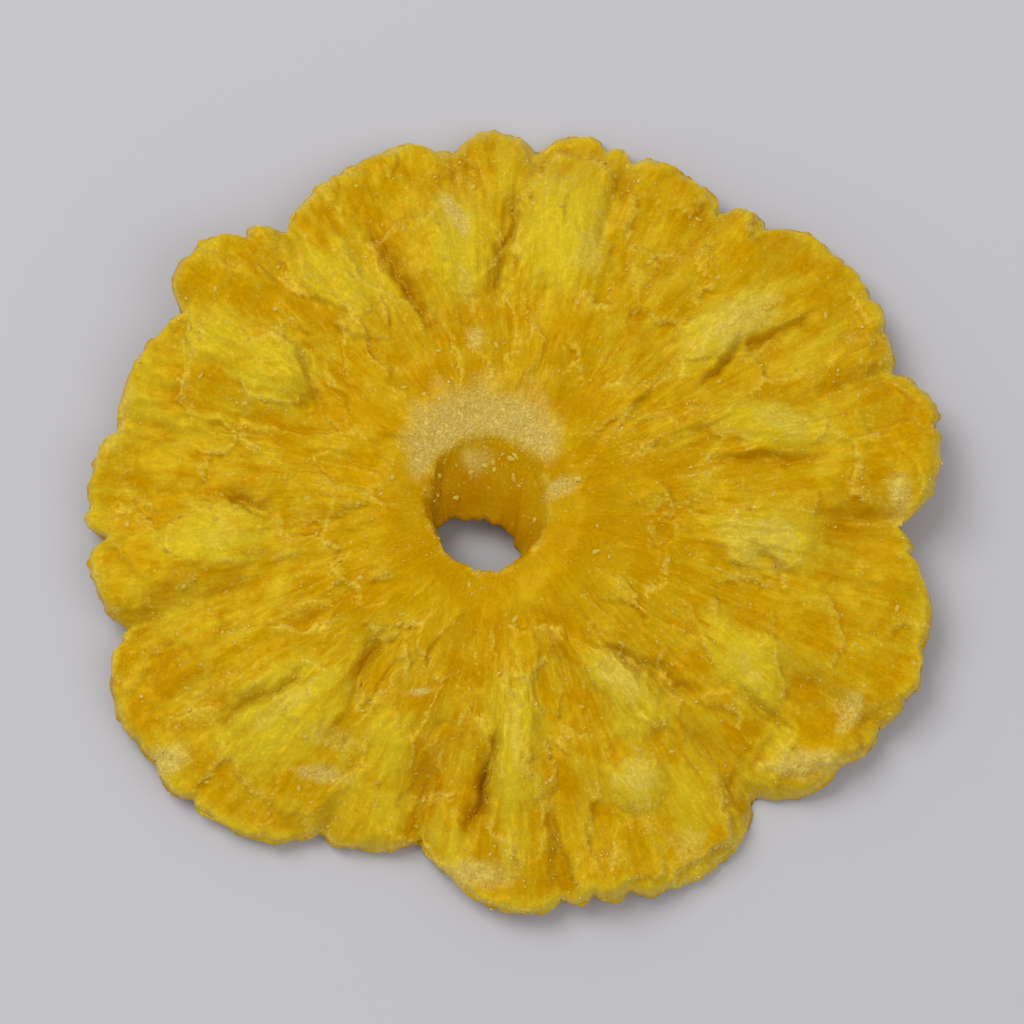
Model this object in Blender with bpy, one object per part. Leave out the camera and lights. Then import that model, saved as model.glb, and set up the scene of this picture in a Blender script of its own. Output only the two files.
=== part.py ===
"""One dried, sugared pineapple ring: a slice across the fruit with its core punched out.

Lengths are in millimetres and angles in degrees, counter-clockwise from +X, until the last step
turns the points into metres. The ring is one closed body of flesh. A torus gives it its skin, and
each point of that skin goes where the rules below put it: the rounded lobes of the fruitlets round
the rim, the slanting core hole, the curl that drying gave the sheet, and the seed chambers that
swell and crack in both faces.
"""

import bpy
import numpy as np

MM = 0.001

# Size of the skin's grid: steps round the ring, and the rows of its cross-section
STEPS_ROUND = 180
TOP_REACH = [0.0, 0.045, 0.11, 0.19, 0.28, 0.37, 0.46, 0.55, 0.63, 0.71, 0.79, 0.865, 0.93, 0.975]
UNDER_REACH = [0.0, 0.07, 0.17, 0.28, 0.39, 0.5, 0.6, 0.7, 0.8, 0.9, 0.97]
BORE_LEVELS = [0.84, 0.62, 0.38, 0.16]
NOSE_LEVEL = 0.5

# Rim, one row for each fruitlet: where its lobe starts, the notch's radius there, where the lobe
# stands out most, and its radius there
LOBES = [
    (19.0, 42.1, 35.0, 44.0),
    (54.0, 38.8, 64.0, 40.1),
    (69.5, 39.1, 76.0, 40.7),
    (84.0, 38.3, 90.5, 40.1),
    (97.0, 38.2, 106.0, 39.7),
    (127.5, 36.4, 142.0, 40.9),
    (148.0, 37.9, 160.0, 40.0),
    (167.0, 39.6, 178.0, 42.1),
    (198.0, 39.9, 217.0, 44.0),
    (242.0, 37.6, 247.0, 37.4),
    (257.0, 34.3, 271.0, 40.6),
    (279.0, 40.0, 298.0, 42.4),
    (311.0, 39.3, 322.0, 43.8),
    (330.0, 44.3, 341.0, 45.7),
    (357.0, 40.4, 369.5, 45.5),
]
LOBE_ROUNDNESS = 0.72

# Core hole: the mouth in the upper face, the throat, and the mouth in the underside, each an
# ellipse of centre x, y, half length, half width and tilt
MOUTH = (-1.1, 0.35, 6.2, 7.2, 0.0)
THROAT = (-2.1, -4.0, 5.0, 3.5, -26.0)
UNDER_MOUTH = (-2.3, -5.0, 6.0, 4.5, -20.0)
THROAT_LEVEL = 0.3
FUNNEL_CURVE = 1.25

# Thickness of the flesh: round the hole, halfway out and near the rim, how far in the rim rounds off
# and how blunt it ends
THICK_AT_HOLE = 6.2
THICK_HALFWAY = 4.9
THICK_AT_RIM = 3.3
RIM_ROUNDING = 2.8
NOSE_SHARE = 0.14

# Upper edge of the hole: how far it is rounded down and between which sizes of the mouth, and the
# height of the low collar round it, where that stands and how wide it is, in sizes of the mouth
HOLE_ROUNDING = 1.1
ROUNDED_FROM = 0.85
ROUNDED_TO = 1.35
COLLAR_HEIGHT = 0.35
COLLAR_AT = 1.65
COLLAR_WIDTH = 0.35

# Curl of the dried sheet: how far the rim hangs below the middle, and the waves along it, each
# with its count round the ring, its height and where it peaks
RIM_DROOP = 1.9
RIM_WAVES = [(2, 1.4, 172.0), (3, 1.1, 20.0), (5, 0.8, 64.0), (8, 0.4, 9.0)]

# One lobe lies lapped over the next: where the step's line runs and its direction, its height,
# how sharp it is and how far it reaches
LAP = (29.5, -28.6, -5.0, 1.3, 0.5, 9.0)

# Seed chambers of the upper face, each a long swelling: angle, radius, length, width, rise and how
# far its length leans from straight outwards
CHAMBERS = [
    (16.3, 29.0, 11.0, 5.6, 0.9, -22.0),
    (38.7, 29.2, 12.0, 5.4, 1.2, -5.0),
    (77.0, 29.4, 13.5, 10.5, 1.3, 0.0),
    (98.5, 27.2, 10.5, 7.5, 1.2, 6.0),
    (125.0, 29.4, 9.0, 5.5, 0.8, 0.0),
    (149.0, 26.8, 9.0, 6.5, 1.0, 10.0),
    (150.0, 34.0, 7.0, 5.0, 0.7, 0.0),
    (166.0, 31.0, 8.0, 4.5, 0.6, 0.0),
    (186.0, 29.0, 11.0, 6.0, 1.1, 0.0),
    (224.0, 29.6, 13.0, 9.5, 1.5, -10.0),
    (246.0, 27.0, 7.0, 5.0, 0.6, 0.0),
    (274.0, 23.8, 13.5, 5.2, 1.4, -4.0),
    (296.5, 30.9, 5.6, 5.4, 0.9, 0.0),
    (303.0, 35.0, 6.0, 4.6, 0.5, 0.0),
    (305.5, 22.6, 10.5, 5.4, 1.2, 14.0),
    (327.0, 29.8, 11.0, 6.4, 1.1, -14.0),
    (352.8, 27.2, 11.0, 7.0, 1.1, 0.0),
]

# Cracks beside the chambers: angle, radius, length, half width, depth and lean
CRACKS = [
    (8.7, 27.9, 10.0, 0.8, 0.6, -8.0),
    (31.5, 33.3, 8.0, 0.7, 0.6, -3.0),
    (32.6, 27.1, 7.0, 0.8, 0.9, 18.0),
    (88.2, 27.9, 14.0, 1.3, 1.3, -8.0),
    (112.7, 25.4, 11.6, 0.9, 1.2, 10.0),
    (146.0, 23.0, 6.0, 0.8, 0.9, -42.0),
    (163.8, 28.0, 6.0, 0.7, 0.8, 5.0),
    (179.3, 25.6, 5.5, 0.8, 1.0, -27.0),
    (219.5, 30.3, 10.5, 0.9, 1.4, -7.0),
    (230.5, 20.7, 7.5, 1.2, 1.0, 13.0),
    (267.1, 27.7, 12.0, 1.0, 1.7, -14.0),
    (279.8, 35.2, 8.6, 0.7, 0.8, 0.0),
    (291.3, 15.4, 7.8, 1.2, 0.5, 5.0),
    (312.0, 22.2, 10.5, 0.9, 1.4, 16.0),
    (322.0, 33.9, 6.5, 0.8, 1.0, -4.0),
    (347.2, 28.4, 5.0, 0.8, 0.9, -22.0),
]
# The underside cuts the next turn of fruitlets, part of a step round and shallower
UNDER_TURN = 17.0
UNDER_SHARE = 0.65

# Radial ribs of the flesh, each with its count, height, wander and how often that turns, the creases
# in from the notches, and the broad swells across the sheet: wave length, direction, height and phase
RIBS = [(17, 0.24, 2.3, 4), (29, 0.2, 3.1, 3), (46, 0.12, 2.6, 5)]
SWELLS = [(17.0, 35.0, 0.22, 0.4), (13.0, 118.0, 0.2, 2.1), (9.5, 74.0, 0.16, 4.4), (8.0, 160.0, 0.14, 1.2)]
CREASE_DEPTH = 1.0
CREASE_WIDTH = 1.3

# Where the relief starts and is full, as shares of the way out from the middle, and how far in from
# the rim it has faded out
RIBS_FROM, RIBS_FULL = 0.3, 0.75
CREASES_FROM = 0.62
SWELLS_FROM, SWELLS_FULL = 0.15, 0.5
RELIEF_FADE = 2.5
RIBS_LEFT_AT_RIM = 0.3

# The ring lies on the lowest point in each of three sectors, given by their middles, and how much of
# the lowest flesh is pressed flat there
REST_SECTORS = [90.0, 210.0, 330.0]
REST_PRESS = 0.7

FLESH_COLOUR = (0.545, 0.328, 0.008, 1.0)
FLESH_ROUGHNESS = 0.42


def rise(value, low, high):
    """0 below low, 1 above high, and a smooth climb between."""
    part = np.clip((value - low) / (high - low), 0.0, 1.0)
    return part * part * (3.0 - 2.0 * part)


def rim_radius(angle):
    """Distance from the slice's middle to its edge: one rounded lobe after another, sharp notches between."""
    radius = np.zeros_like(angle)
    for (start, notch, crest_at, crest), following in zip(LOBES, LOBES[1:] + LOBES[:1]):
        span = (following[0] - start) % 360.0
        peak = (crest_at - start) % 360.0
        gone = (angle - start) % 360.0
        chord = notch + (following[1] - notch) * gone / span
        swell = crest - notch - (following[1] - notch) * peak / span
        climb = np.where(gone < peak, gone / peak, (span - gone) / (span - peak))
        bow = (1.0 - (1.0 - np.clip(climb, 0.0, 1.0)) ** 2) ** LOBE_ROUNDNESS
        radius = np.where(gone < span, chord + swell * bow, radius)
    return radius


def ellipse(shape, angle):
    """Points of an ellipse at the given angles."""
    x, y, long_half, short_half, tilt = shape
    turn = np.radians(tilt)
    along = long_half * np.cos(np.radians(angle) - turn)
    across = short_half * np.sin(np.radians(angle) - turn)
    return np.stack([
        x + along * np.cos(turn) - across * np.sin(turn),
        y + along * np.sin(turn) + across * np.cos(turn),
    ])


def hole_edge(angle, level):
    """Plan of the core hole at a level of the flesh, 1 at the upper face and 0 at the underside."""
    up = np.clip((level - THROAT_LEVEL) / (1.0 - THROAT_LEVEL), 0.0, 1.0) ** FUNNEL_CURVE
    down = np.clip((THROAT_LEVEL - level) / THROAT_LEVEL, 0.0, 1.0)
    throat = ellipse(THROAT, angle)
    return throat + up * (ellipse(MOUTH, angle) - throat) + down * (ellipse(UNDER_MOUTH, angle) - throat)


def curl(angle, reach):
    """Height of the middle of the flesh: a shallow dome with a wavy rim."""
    height = -RIM_DROOP * reach ** 2
    for count, size, peak_at in RIM_WAVES:
        height = height + size * np.cos(np.radians(count * (angle - peak_at))) * reach ** 3
    return height


def lap_step(x, y):
    """The step where one lobe's edge lies over its neighbour."""
    at_x, at_y, direction, size, sharpness, length = LAP
    turn = np.radians(direction)
    beside = (y - at_y) * np.cos(turn) - (x - at_x) * np.sin(turn)
    near = np.exp(-((x - at_x) ** 2 + (y - at_y) ** 2) / length ** 2)
    return 0.5 * size * np.tanh(beside / sharpness) * near


def thickness(reach, inset):
    """Thickness of the flesh, thinning outwards and rounded off at the rim."""
    inner = THICK_HALFWAY + (THICK_AT_HOLE - THICK_HALFWAY) * (1.0 - rise(reach, 0.12, 0.6))
    body = inner + (THICK_AT_RIM - THICK_HALFWAY) * rise(reach, 0.5, 0.95)
    nose = np.clip(inset / RIM_ROUNDING, 0.0, 1.0)
    return body * np.sqrt(NOSE_SHARE + (1.0 - NOSE_SHARE) * (1.0 - (1.0 - nose) ** 2))


def place_along(x, y, angle, radius, lean):
    """How far each point lies along and beside a feature set at an angle and radius, leaning from straight out."""
    at = np.radians(angle)
    turn = np.radians(angle + lean)
    away_x = x - radius * np.cos(at)
    away_y = y - radius * np.sin(at)
    return away_x * np.cos(turn) + away_y * np.sin(turn), away_y * np.cos(turn) - away_x * np.sin(turn)


def chamber_relief(x, y, turned):
    """Seed chambers swell up, and the cracks beside them cut down."""
    height = np.zeros_like(x)
    for angle, radius, length, width, swell, lean in CHAMBERS:
        along, beside = place_along(x, y, angle + turned, radius, lean)
        height += swell * np.exp(-((2.0 * along / length) ** 2 + (2.0 * beside / width) ** 2) ** 1.4)
    for angle, radius, length, half_width, depth, lean in CRACKS:
        along, beside = place_along(x, y, angle + turned, radius, lean)
        height -= depth * np.exp(-(beside / half_width) ** 2 - (2.0 * along / length) ** 4)
    return height


def rib_relief(angle, reach):
    """Radial ribs of the fibrous flesh outside the hole, and the creases that run in from the notches."""
    turn = np.radians(angle)
    height = np.zeros_like(angle)
    for count, size, wander, slow in RIBS:
        swing = np.sin(count * turn + wander * np.sin(slow * turn))
        height += size * (0.7 + 0.3 * np.cos(slow * turn + count)) * swing * rise(reach, RIBS_FROM, RIBS_FULL)
    for start, notch, _, _ in LOBES:
        away = np.radians((angle - start + 180.0) % 360.0 - 180.0) * notch
        height -= CREASE_DEPTH * np.exp(-(away / CREASE_WIDTH) ** 2) * rise(reach, CREASES_FROM, 1.0)
    return height


def swell_relief(x, y):
    """Broad, low swells where the sheet shrank unevenly."""
    height = np.zeros_like(x)
    for length, direction, size, phase in SWELLS:
        turn = np.radians(direction)
        height += size * np.sin(2.0 * np.pi * (x * np.cos(turn) + y * np.sin(turn)) / length + phase)
    return height


def faces_at(x, y):
    """Heights of the upper face and the underside over a point of the plan."""
    angle = np.degrees(np.arctan2(y, x)) % 360.0
    edge = rim_radius(angle)
    reach = np.minimum(np.hypot(x, y) / edge, 1.0)
    inset = (1.0 - reach) * edge
    fade = rise(inset, 0.0, RELIEF_FADE)
    middle = curl(angle, reach) + lap_step(x, y)
    half = 0.5 * thickness(reach, inset)
    swells = swell_relief(x, y) * rise(reach, SWELLS_FROM, SWELLS_FULL)
    ribs_left = RIBS_LEFT_AT_RIM + (1.0 - RIBS_LEFT_AT_RIM) * fade
    upper = half + fade * (chamber_relief(x, y, 0.0) + swells) + ribs_left * rib_relief(angle, reach)
    under = chamber_relief(x, y, UNDER_TURN) + rib_relief(angle + UNDER_TURN, reach) - swells
    under = half + fade * UNDER_SHARE * under
    mouth_x, mouth_y, mouth_long, mouth_wide, _ = MOUTH
    from_mouth = np.hypot((x - mouth_x) / mouth_long, (y - mouth_y) / mouth_wide)
    upper += COLLAR_HEIGHT * np.exp(-((from_mouth - COLLAR_AT) / COLLAR_WIDTH) ** 2)
    upper -= HOLE_ROUNDING * (1.0 - rise(from_mouth, ROUNDED_FROM, ROUNDED_TO))
    return middle + upper, middle - under


def section_rows():
    """Rows of the cross-section in order round it, from the rim over the top, down the bore and back below."""
    rows = [(1.0, NOSE_LEVEL)]
    rows += [(reach, 1.0) for reach in reversed(TOP_REACH)]
    rows += [(0.0, level) for level in BORE_LEVELS]
    rows += [(reach, 0.0) for reach in UNDER_REACH]
    return rows


def ring_points(angle, row):
    """Where the skin's points lie, from their angle round the ring and their row of the cross-section."""
    reach, level = np.array(section_rows()).T[:, row]
    hole = hole_edge(angle, level)
    rim = rim_radius(angle) * np.stack([np.cos(np.radians(angle)), np.sin(np.radians(angle))])
    x, y = hole + reach * (rim - hole)
    upper, under = faces_at(x, y)
    return lay_down(x, y, under + level * (upper - under))


def lay_down(x, y, z):
    """Tips the sheet until it lies level on its three lowest places, and presses those flat."""
    angle = np.degrees(np.arctan2(y, x))
    for _ in range(3):
        feet = []
        for middle in REST_SECTORS:
            away = np.abs((angle - middle + 180.0) % 360.0 - 180.0)
            feet.append(np.argmin(np.where(away <= 60.0, z, np.inf)))
        ground = np.linalg.solve(np.column_stack([x[feet], y[feet], np.ones(3)]), z[feet])
        z = z - ground[0] * x - ground[1] * y - ground[2]
    return np.stack([x, y, np.maximum(z, REST_PRESS) - REST_PRESS], axis=1)


def make_ring(collection):
    """The whole slice: a torus whose skin is moved to the slice's shape."""
    rows = len(section_rows())
    bpy.ops.mesh.primitive_torus_add(
        major_segments=STEPS_ROUND,
        minor_segments=rows,
        major_radius=2.0,
        minor_radius=1.0,
    )
    ring = bpy.context.object
    ring.name = "pineapple_ring"
    ring.data.name = "pineapple_ring"
    count = len(ring.data.vertices)
    start = np.empty(3 * count)
    ring.data.vertices.foreach_get("co", start)
    x, y, z = start.reshape(count, 3).T
    angle = np.degrees(np.arctan2(y, x)) % 360.0
    around = np.degrees(np.arctan2(z, np.hypot(x, y) - 2.0)) % 360.0
    row = np.rint(around / 360.0 * rows).astype(int) % rows
    points = ring_points(angle, row)
    low = points.min(axis=0)
    high = points.max(axis=0)
    points -= [0.5 * (low[0] + high[0]), 0.5 * (low[1] + high[1]), 0.0]
    ring.data.vertices.foreach_set("co", (MM * points).ravel())
    ring.data.update()
    ring.data.shade_smooth()
    ring.data.materials.append(flesh_material())
    for holder in list(ring.users_collection):
        holder.objects.unlink(ring)
    collection.objects.link(ring)
    return ring


def flesh_material():
    """Amber dried flesh, slightly moist under its sugar."""
    material = bpy.data.materials.new("dried_flesh")
    material.use_nodes = True
    shader = material.node_tree.nodes["Principled BSDF"]
    shader.inputs["Base Color"].default_value = FLESH_COLOUR
    shader.inputs["Roughness"].default_value = FLESH_ROUGHNESS
    shader.inputs["Metallic"].default_value = 0.0
    return material


for old in list(bpy.data.objects):
    bpy.data.objects.remove(old, do_unlink=True)
slice_collection = bpy.data.collections.new("dried_pineapple")
bpy.context.scene.collection.children.link(slice_collection)
make_ring(slice_collection)
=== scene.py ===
import math

import bpy
import numpy as np
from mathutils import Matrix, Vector


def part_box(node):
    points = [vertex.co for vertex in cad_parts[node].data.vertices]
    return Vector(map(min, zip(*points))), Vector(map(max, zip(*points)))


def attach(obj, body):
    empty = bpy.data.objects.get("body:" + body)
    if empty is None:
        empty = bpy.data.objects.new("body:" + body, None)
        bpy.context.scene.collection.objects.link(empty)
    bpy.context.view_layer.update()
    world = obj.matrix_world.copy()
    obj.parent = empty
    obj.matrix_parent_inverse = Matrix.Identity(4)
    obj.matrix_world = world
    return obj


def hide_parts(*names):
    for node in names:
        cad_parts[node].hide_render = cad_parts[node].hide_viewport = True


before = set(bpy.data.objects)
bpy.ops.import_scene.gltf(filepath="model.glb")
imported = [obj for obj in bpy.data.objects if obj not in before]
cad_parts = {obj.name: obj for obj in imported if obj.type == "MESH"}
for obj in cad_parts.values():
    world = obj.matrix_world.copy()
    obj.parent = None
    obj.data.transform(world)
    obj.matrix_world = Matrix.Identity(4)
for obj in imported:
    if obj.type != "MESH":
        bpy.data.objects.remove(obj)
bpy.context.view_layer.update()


# Shape of the flesh
# One slice across a pineapple with its core punched out, candied in syrup and dried. Each lobe of the
# rim is a fruitlet, the pale swellings are its seed chambers, and the cracks opened as they shrank.
# Lengths are in millimetres and angles in degrees, counter-clockwise from +X.
MM = 0.001

# Rim, one row for each fruitlet: where its lobe starts, the notch's radius there, where the lobe
# stands out most, and its radius there
LOBES = [
    (19.0, 42.1, 35.0, 44.0),
    (54.0, 38.8, 64.0, 40.1),
    (69.5, 39.1, 76.0, 40.7),
    (84.0, 38.3, 90.5, 40.1),
    (97.0, 38.2, 106.0, 39.7),
    (127.5, 36.4, 142.0, 40.9),
    (148.0, 37.9, 160.0, 40.0),
    (167.0, 39.6, 178.0, 42.1),
    (198.0, 39.9, 217.0, 44.0),
    (242.0, 37.6, 247.0, 37.4),
    (257.0, 34.3, 271.0, 40.6),
    (279.0, 40.0, 298.0, 42.4),
    (311.0, 39.3, 322.0, 43.8),
    (330.0, 44.3, 341.0, 45.7),
    (357.0, 40.4, 369.5, 45.5),
]
LOBE_ROUNDNESS = 0.72

# Core hole: the mouth in the upper face, the throat, and the mouth in the underside, each an
# ellipse of centre x, y, half length, half width and tilt
MOUTH = (-1.1, 0.35, 6.2, 7.2, 0.0)
THROAT = (-2.1, -4.1, 4.6, 3.0, -26.0)
UNDER_MOUTH = (-2.3, -5.0, 6.0, 4.5, -20.0)
THROAT_LEVEL = 0.3
FUNNEL_CURVE = 1.25

# Thickness of the flesh: round the hole, halfway out and near the rim, between which shares of the way
# out it thins from one to the next, how far in the rim rounds off and how blunt it ends
THICK_AT_HOLE = 6.2
THICK_HALFWAY = 4.9
THICK_AT_RIM = 3.3
THINS_FIRST = (0.12, 0.6)
THINS_NEXT = (0.5, 0.95)
RIM_ROUNDING = 0.9
NOSE_SHARE = 0.3

# Upper edge of the hole: how far it is rounded down and between which sizes of the mouth, and the
# height of the low collar round it, where that stands and how wide it is, in sizes of the mouth
HOLE_ROUNDING = 1.4
ROUNDED_FROM = 0.75
ROUNDED_TO = 1.6
COLLAR_HEIGHT = 0.35
COLLAR_AT = 1.65
COLLAR_WIDTH = 0.35

# Curl of the dried sheet: how far the rim hangs below the middle, and the waves along it, each
# with its count round the ring, its height and where it peaks
RIM_DROOP = 1.9
RIM_WAVES = [(2, 1.4, 172.0), (3, 1.1, 20.0), (5, 0.8, 64.0), (8, 0.4, 9.0)]

# One lobe lies lapped over the next: where the step's line runs and its direction, its height,
# how sharp it is and how far it reaches
LAP = (29.5, -28.6, -5.0, 1.3, 0.5, 9.0)

# Seed chambers of the upper face, each a long swelling: angle, radius, length, width, rise and how
# far its length leans from straight outwards
CHAMBERS = [
    (16.3, 29.0, 11.0, 5.6, 0.9, -22.0),
    (38.7, 29.2, 12.0, 5.4, 1.2, -5.0),
    (77.0, 29.4, 13.5, 10.5, 1.3, 0.0),
    (98.5, 27.2, 10.5, 7.5, 1.2, 6.0),
    (125.0, 29.4, 9.0, 5.5, 0.8, 0.0),
    (149.0, 26.8, 9.0, 6.5, 1.0, 10.0),
    (150.0, 34.0, 7.0, 5.0, 0.7, 0.0),
    (166.0, 31.0, 8.0, 4.5, 0.6, 0.0),
    (186.0, 29.0, 11.0, 6.0, 1.1, 0.0),
    (224.0, 29.6, 13.0, 9.5, 1.5, -10.0),
    (246.0, 27.0, 7.0, 5.0, 0.6, 0.0),
    (274.0, 23.8, 13.5, 5.2, 1.4, -4.0),
    (296.5, 30.9, 5.6, 5.4, 0.9, 0.0),
    (303.0, 35.0, 6.0, 4.6, 0.5, 0.0),
    (305.5, 22.6, 10.5, 5.4, 1.2, 14.0),
    (327.0, 29.8, 11.0, 6.4, 1.1, -14.0),
    (352.8, 27.2, 11.0, 7.0, 0.8, 0.0),
]

# Cracks beside the chambers: angle, radius, length, half width, depth and lean
CRACKS = [
    (8.7, 27.9, 10.0, 0.8, 0.6, -8.0),
    (31.5, 33.3, 8.0, 0.7, 0.6, -3.0),
    (32.6, 27.1, 7.0, 0.8, 0.9, 18.0),
    (88.2, 27.9, 14.0, 1.3, 1.3, -8.0),
    (112.7, 25.4, 11.6, 0.9, 1.2, 10.0),
    (146.0, 23.0, 6.0, 0.8, 0.9, -42.0),
    (163.8, 28.0, 6.0, 0.7, 0.8, 5.0),
    (179.3, 25.6, 5.5, 0.8, 1.0, -27.0),
    (219.5, 30.3, 10.5, 0.9, 1.4, -7.0),
    (230.5, 20.7, 7.5, 1.2, 1.0, 13.0),
    (267.1, 27.7, 12.0, 1.0, 1.7, -14.0),
    (279.8, 35.2, 8.6, 0.7, 0.8, 0.0),
    (291.3, 15.4, 7.8, 1.2, 0.5, 5.0),
    (312.0, 22.2, 10.5, 0.9, 1.4, 16.0),
    (322.0, 33.9, 6.5, 0.8, 1.0, -4.0),
    (347.2, 28.4, 5.0, 0.8, 0.9, -22.0),
]
# The underside cuts the next turn of fruitlets, part of a step round and shallower
UNDER_TURN = 17.0
UNDER_SHARE = 0.65

# Radial ribs of the flesh, each with its count, height, wander and how often that turns, and how their
# height varies round the ring; the creases in from the notches; and the broad swells across the sheet:
# wave length, direction, height and phase
RIBS = [(17, 0.24, 2.3, 4), (29, 0.2, 3.1, 3), (46, 0.12, 2.6, 5)]
RIB_MEAN, RIB_SWING = 0.7, 0.3
SWELLS = [(17.0, 35.0, 0.22, 0.4), (13.0, 118.0, 0.2, 2.1), (9.5, 74.0, 0.16, 4.4), (8.0, 160.0, 0.14, 1.2)]
CREASE_DEPTH = 1.0
CREASE_WIDTH = 1.3
# How dark the painted shade in the creases is
CREASE_DARK = 0.5

# Where the relief starts and is full, as shares of the way out from the middle, and how far in from
# the rim it has faded out
RIBS_FROM, RIBS_FULL = 0.3, 0.75
CREASES_FROM = 0.62
SWELLS_FROM, SWELLS_FULL = 0.15, 0.5
RELIEF_FADE = 1.5
RIBS_LEFT_AT_RIM = 0.7

# The ring lies on the lowest point in each of three sectors, given by their middles, and how much of
# the lowest flesh is pressed flat there
REST_SECTORS = [90.0, 210.0, 330.0]
REST_PRESS = 0.7


def rise(value, low, high):
    """0 below low, 1 above high, and a smooth climb between."""
    part = np.clip((value - low) / (high - low), 0.0, 1.0)
    return part * part * (3.0 - 2.0 * part)


# Noise repeats after this many units, and is scaled up to reach about -1 to 1
NOISE_UNITS = 256
NOISE_GAIN = 1.6


def noise(u, v, seed, wrap=NOISE_UNITS):
    """Smooth seeded noise with bumps one unit apart, which repeats after `wrap` units of u."""
    lean = np.random.default_rng(seed).uniform(0.0, 2.0 * math.pi, (wrap, NOISE_UNITS))
    i = np.floor(u).astype(int)
    j = np.floor(v).astype(int)
    total = 0.0
    for step_u in (0, 1):
        for step_v in (0, 1):
            turn = lean[(i + step_u) % wrap, (j + step_v) % NOISE_UNITS]
            off_u = u - i - step_u
            off_v = v - j - step_v
            near = (1.0 - rise(np.abs(off_u), 0.0, 1.0)) * (1.0 - rise(np.abs(off_v), 0.0, 1.0))
            total = total + near * (np.cos(turn) * off_u + np.sin(turn) * off_v)
    return NOISE_GAIN * total


def bumps(x, y, size, seed):
    """Smooth bumps over the plan, each about as long as `size`."""
    return noise(x / size, y / size, seed)


def layers(x, y, rows, seed=0):
    """Bumps of several sizes together, from rows of size, height and seed."""
    return sum(height * bumps(x, y, size, seed + at) for size, height, at in rows)


def patches(x, y, size, seed, ends):
    """Patches of 1 among 0, each about as long as `size`, with soft ends."""
    return rise(bumps(x, y, size, seed), *ends)


def bumps_round(angle, count, seed, down=0.0):
    """As many smooth bumps round the ring as `count`, which change with how far down they are."""
    return noise(angle / 360.0 * count, down, seed, count)


def outwards(angle):
    """A step of one millimetre straight out from the middle."""
    return np.stack([np.cos(np.radians(angle)), np.sin(np.radians(angle))])


def seen_from(x, y, at_x, at_y, direction):
    """How far each point lies from a place, along a direction and beside it."""
    turn = np.radians(direction)
    away_x = x - at_x
    away_y = y - at_y
    return away_x * np.cos(turn) + away_y * np.sin(turn), away_y * np.cos(turn) - away_x * np.sin(turn)


def rim_radius(angle):
    """Distance from the slice's middle to its edge: one rounded lobe after another, sharp notches between."""
    radius = np.zeros_like(angle)
    for (start, notch, crest_at, crest), following in zip(LOBES, LOBES[1:] + LOBES[:1]):
        span = (following[0] - start) % 360.0
        peak = (crest_at - start) % 360.0
        gone = (angle - start) % 360.0
        chord = notch + (following[1] - notch) * gone / span
        swell = crest - notch - (following[1] - notch) * peak / span
        climb = np.where(gone < peak, gone / peak, (span - gone) / (span - peak))
        bow = (1.0 - (1.0 - np.clip(climb, 0.0, 1.0)) ** 2) ** LOBE_ROUNDNESS
        radius = np.where(gone < span, chord + swell * bow, radius)
    return radius


# Torn edge of the rim: rounds of waves with their count, height and seed, and how many small tears,
# how deep and how wide they are
RIM_TATTERS = [(72, 0.26, 3), (180, 0.16, 4), (360, 0.12, 5)]
TEARS = 34
TEAR_DEPTH = (0.5, 1.5)
TEAR_WIDTH = (0.7, 1.8)


def torn_rim(angle):
    """The rim with its ragged edge and small tears."""
    radius = rim_radius(angle)
    for count, size, seed in RIM_TATTERS:
        radius = radius + size * bumps_round(angle, count, seed)
    draw = np.random.default_rng(11)
    for at, depth, width in zip(
        draw.uniform(0.0, 360.0, TEARS), draw.uniform(*TEAR_DEPTH, TEARS), draw.uniform(*TEAR_WIDTH, TEARS)
    ):
        away = np.abs((angle - at + 180.0) % 360.0 - 180.0)
        radius = radius - depth * np.exp(-away / width)
    return radius


def ellipse(shape, angle):
    """Points of an ellipse at the given angles."""
    x, y, long_half, short_half, tilt = shape
    turn = np.radians(tilt)
    along = long_half * np.cos(np.radians(angle) - turn)
    across = short_half * np.sin(np.radians(angle) - turn)
    return np.stack([
        x + along * np.cos(turn) - across * np.sin(turn),
        y + along * np.sin(turn) + across * np.cos(turn),
    ])


# Chips out of the rim's upper edge: how many places round it, how deep, how far in, and the finer ones
# among them, with their share and spacing
CHIPS = 110
CHIP_DEPTH = 0.6
CHIP_REACH = 0.7
CHIP_RANGE = (-0.5, 0.8)
CHIP_FINE_SHARE = 0.6
CHIP_FINE_SPACING = 0.8

# Roughness of the punched bore: bumps round it and down it, and their height
BORE_BUMPS = [(11, 2.0, 0.55, 21), (24, 4.0, 0.3, 22), (52, 8.0, 0.14, 23)]


def hole_edge(angle, level):
    """Plan of the core hole at a level of the flesh, 1 at the upper face and 0 at the underside."""
    up = np.clip((level - THROAT_LEVEL) / (1.0 - THROAT_LEVEL), 0.0, 1.0) ** FUNNEL_CURVE
    down = np.clip((THROAT_LEVEL - level) / THROAT_LEVEL, 0.0, 1.0)
    throat = ellipse(THROAT, angle)
    edge = throat + up * (ellipse(MOUTH, angle) - throat) + down * (ellipse(UNDER_MOUTH, angle) - throat)
    bump = np.zeros_like(angle)
    for count, rows, size, seed in BORE_BUMPS:
        bump = bump + size * bumps_round(angle, count, seed, level * rows)
    return edge + bump * outwards(angle)


def curl(angle, reach):
    """Height of the middle of the flesh: a shallow dome with a wavy rim."""
    height = -RIM_DROOP * reach ** 2
    for count, size, peak_at in RIM_WAVES:
        height = height + size * np.cos(np.radians(count * (angle - peak_at))) * reach ** 3
    return height


def lap_step(x, y):
    """The step where one lobe's edge lies over its neighbour."""
    at_x, at_y, direction, size, sharpness, length = LAP
    _, beside = seen_from(x, y, at_x, at_y, direction)
    near = np.exp(-((x - at_x) ** 2 + (y - at_y) ** 2) / length ** 2)
    return 0.5 * size * np.tanh(beside / sharpness) * near


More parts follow.
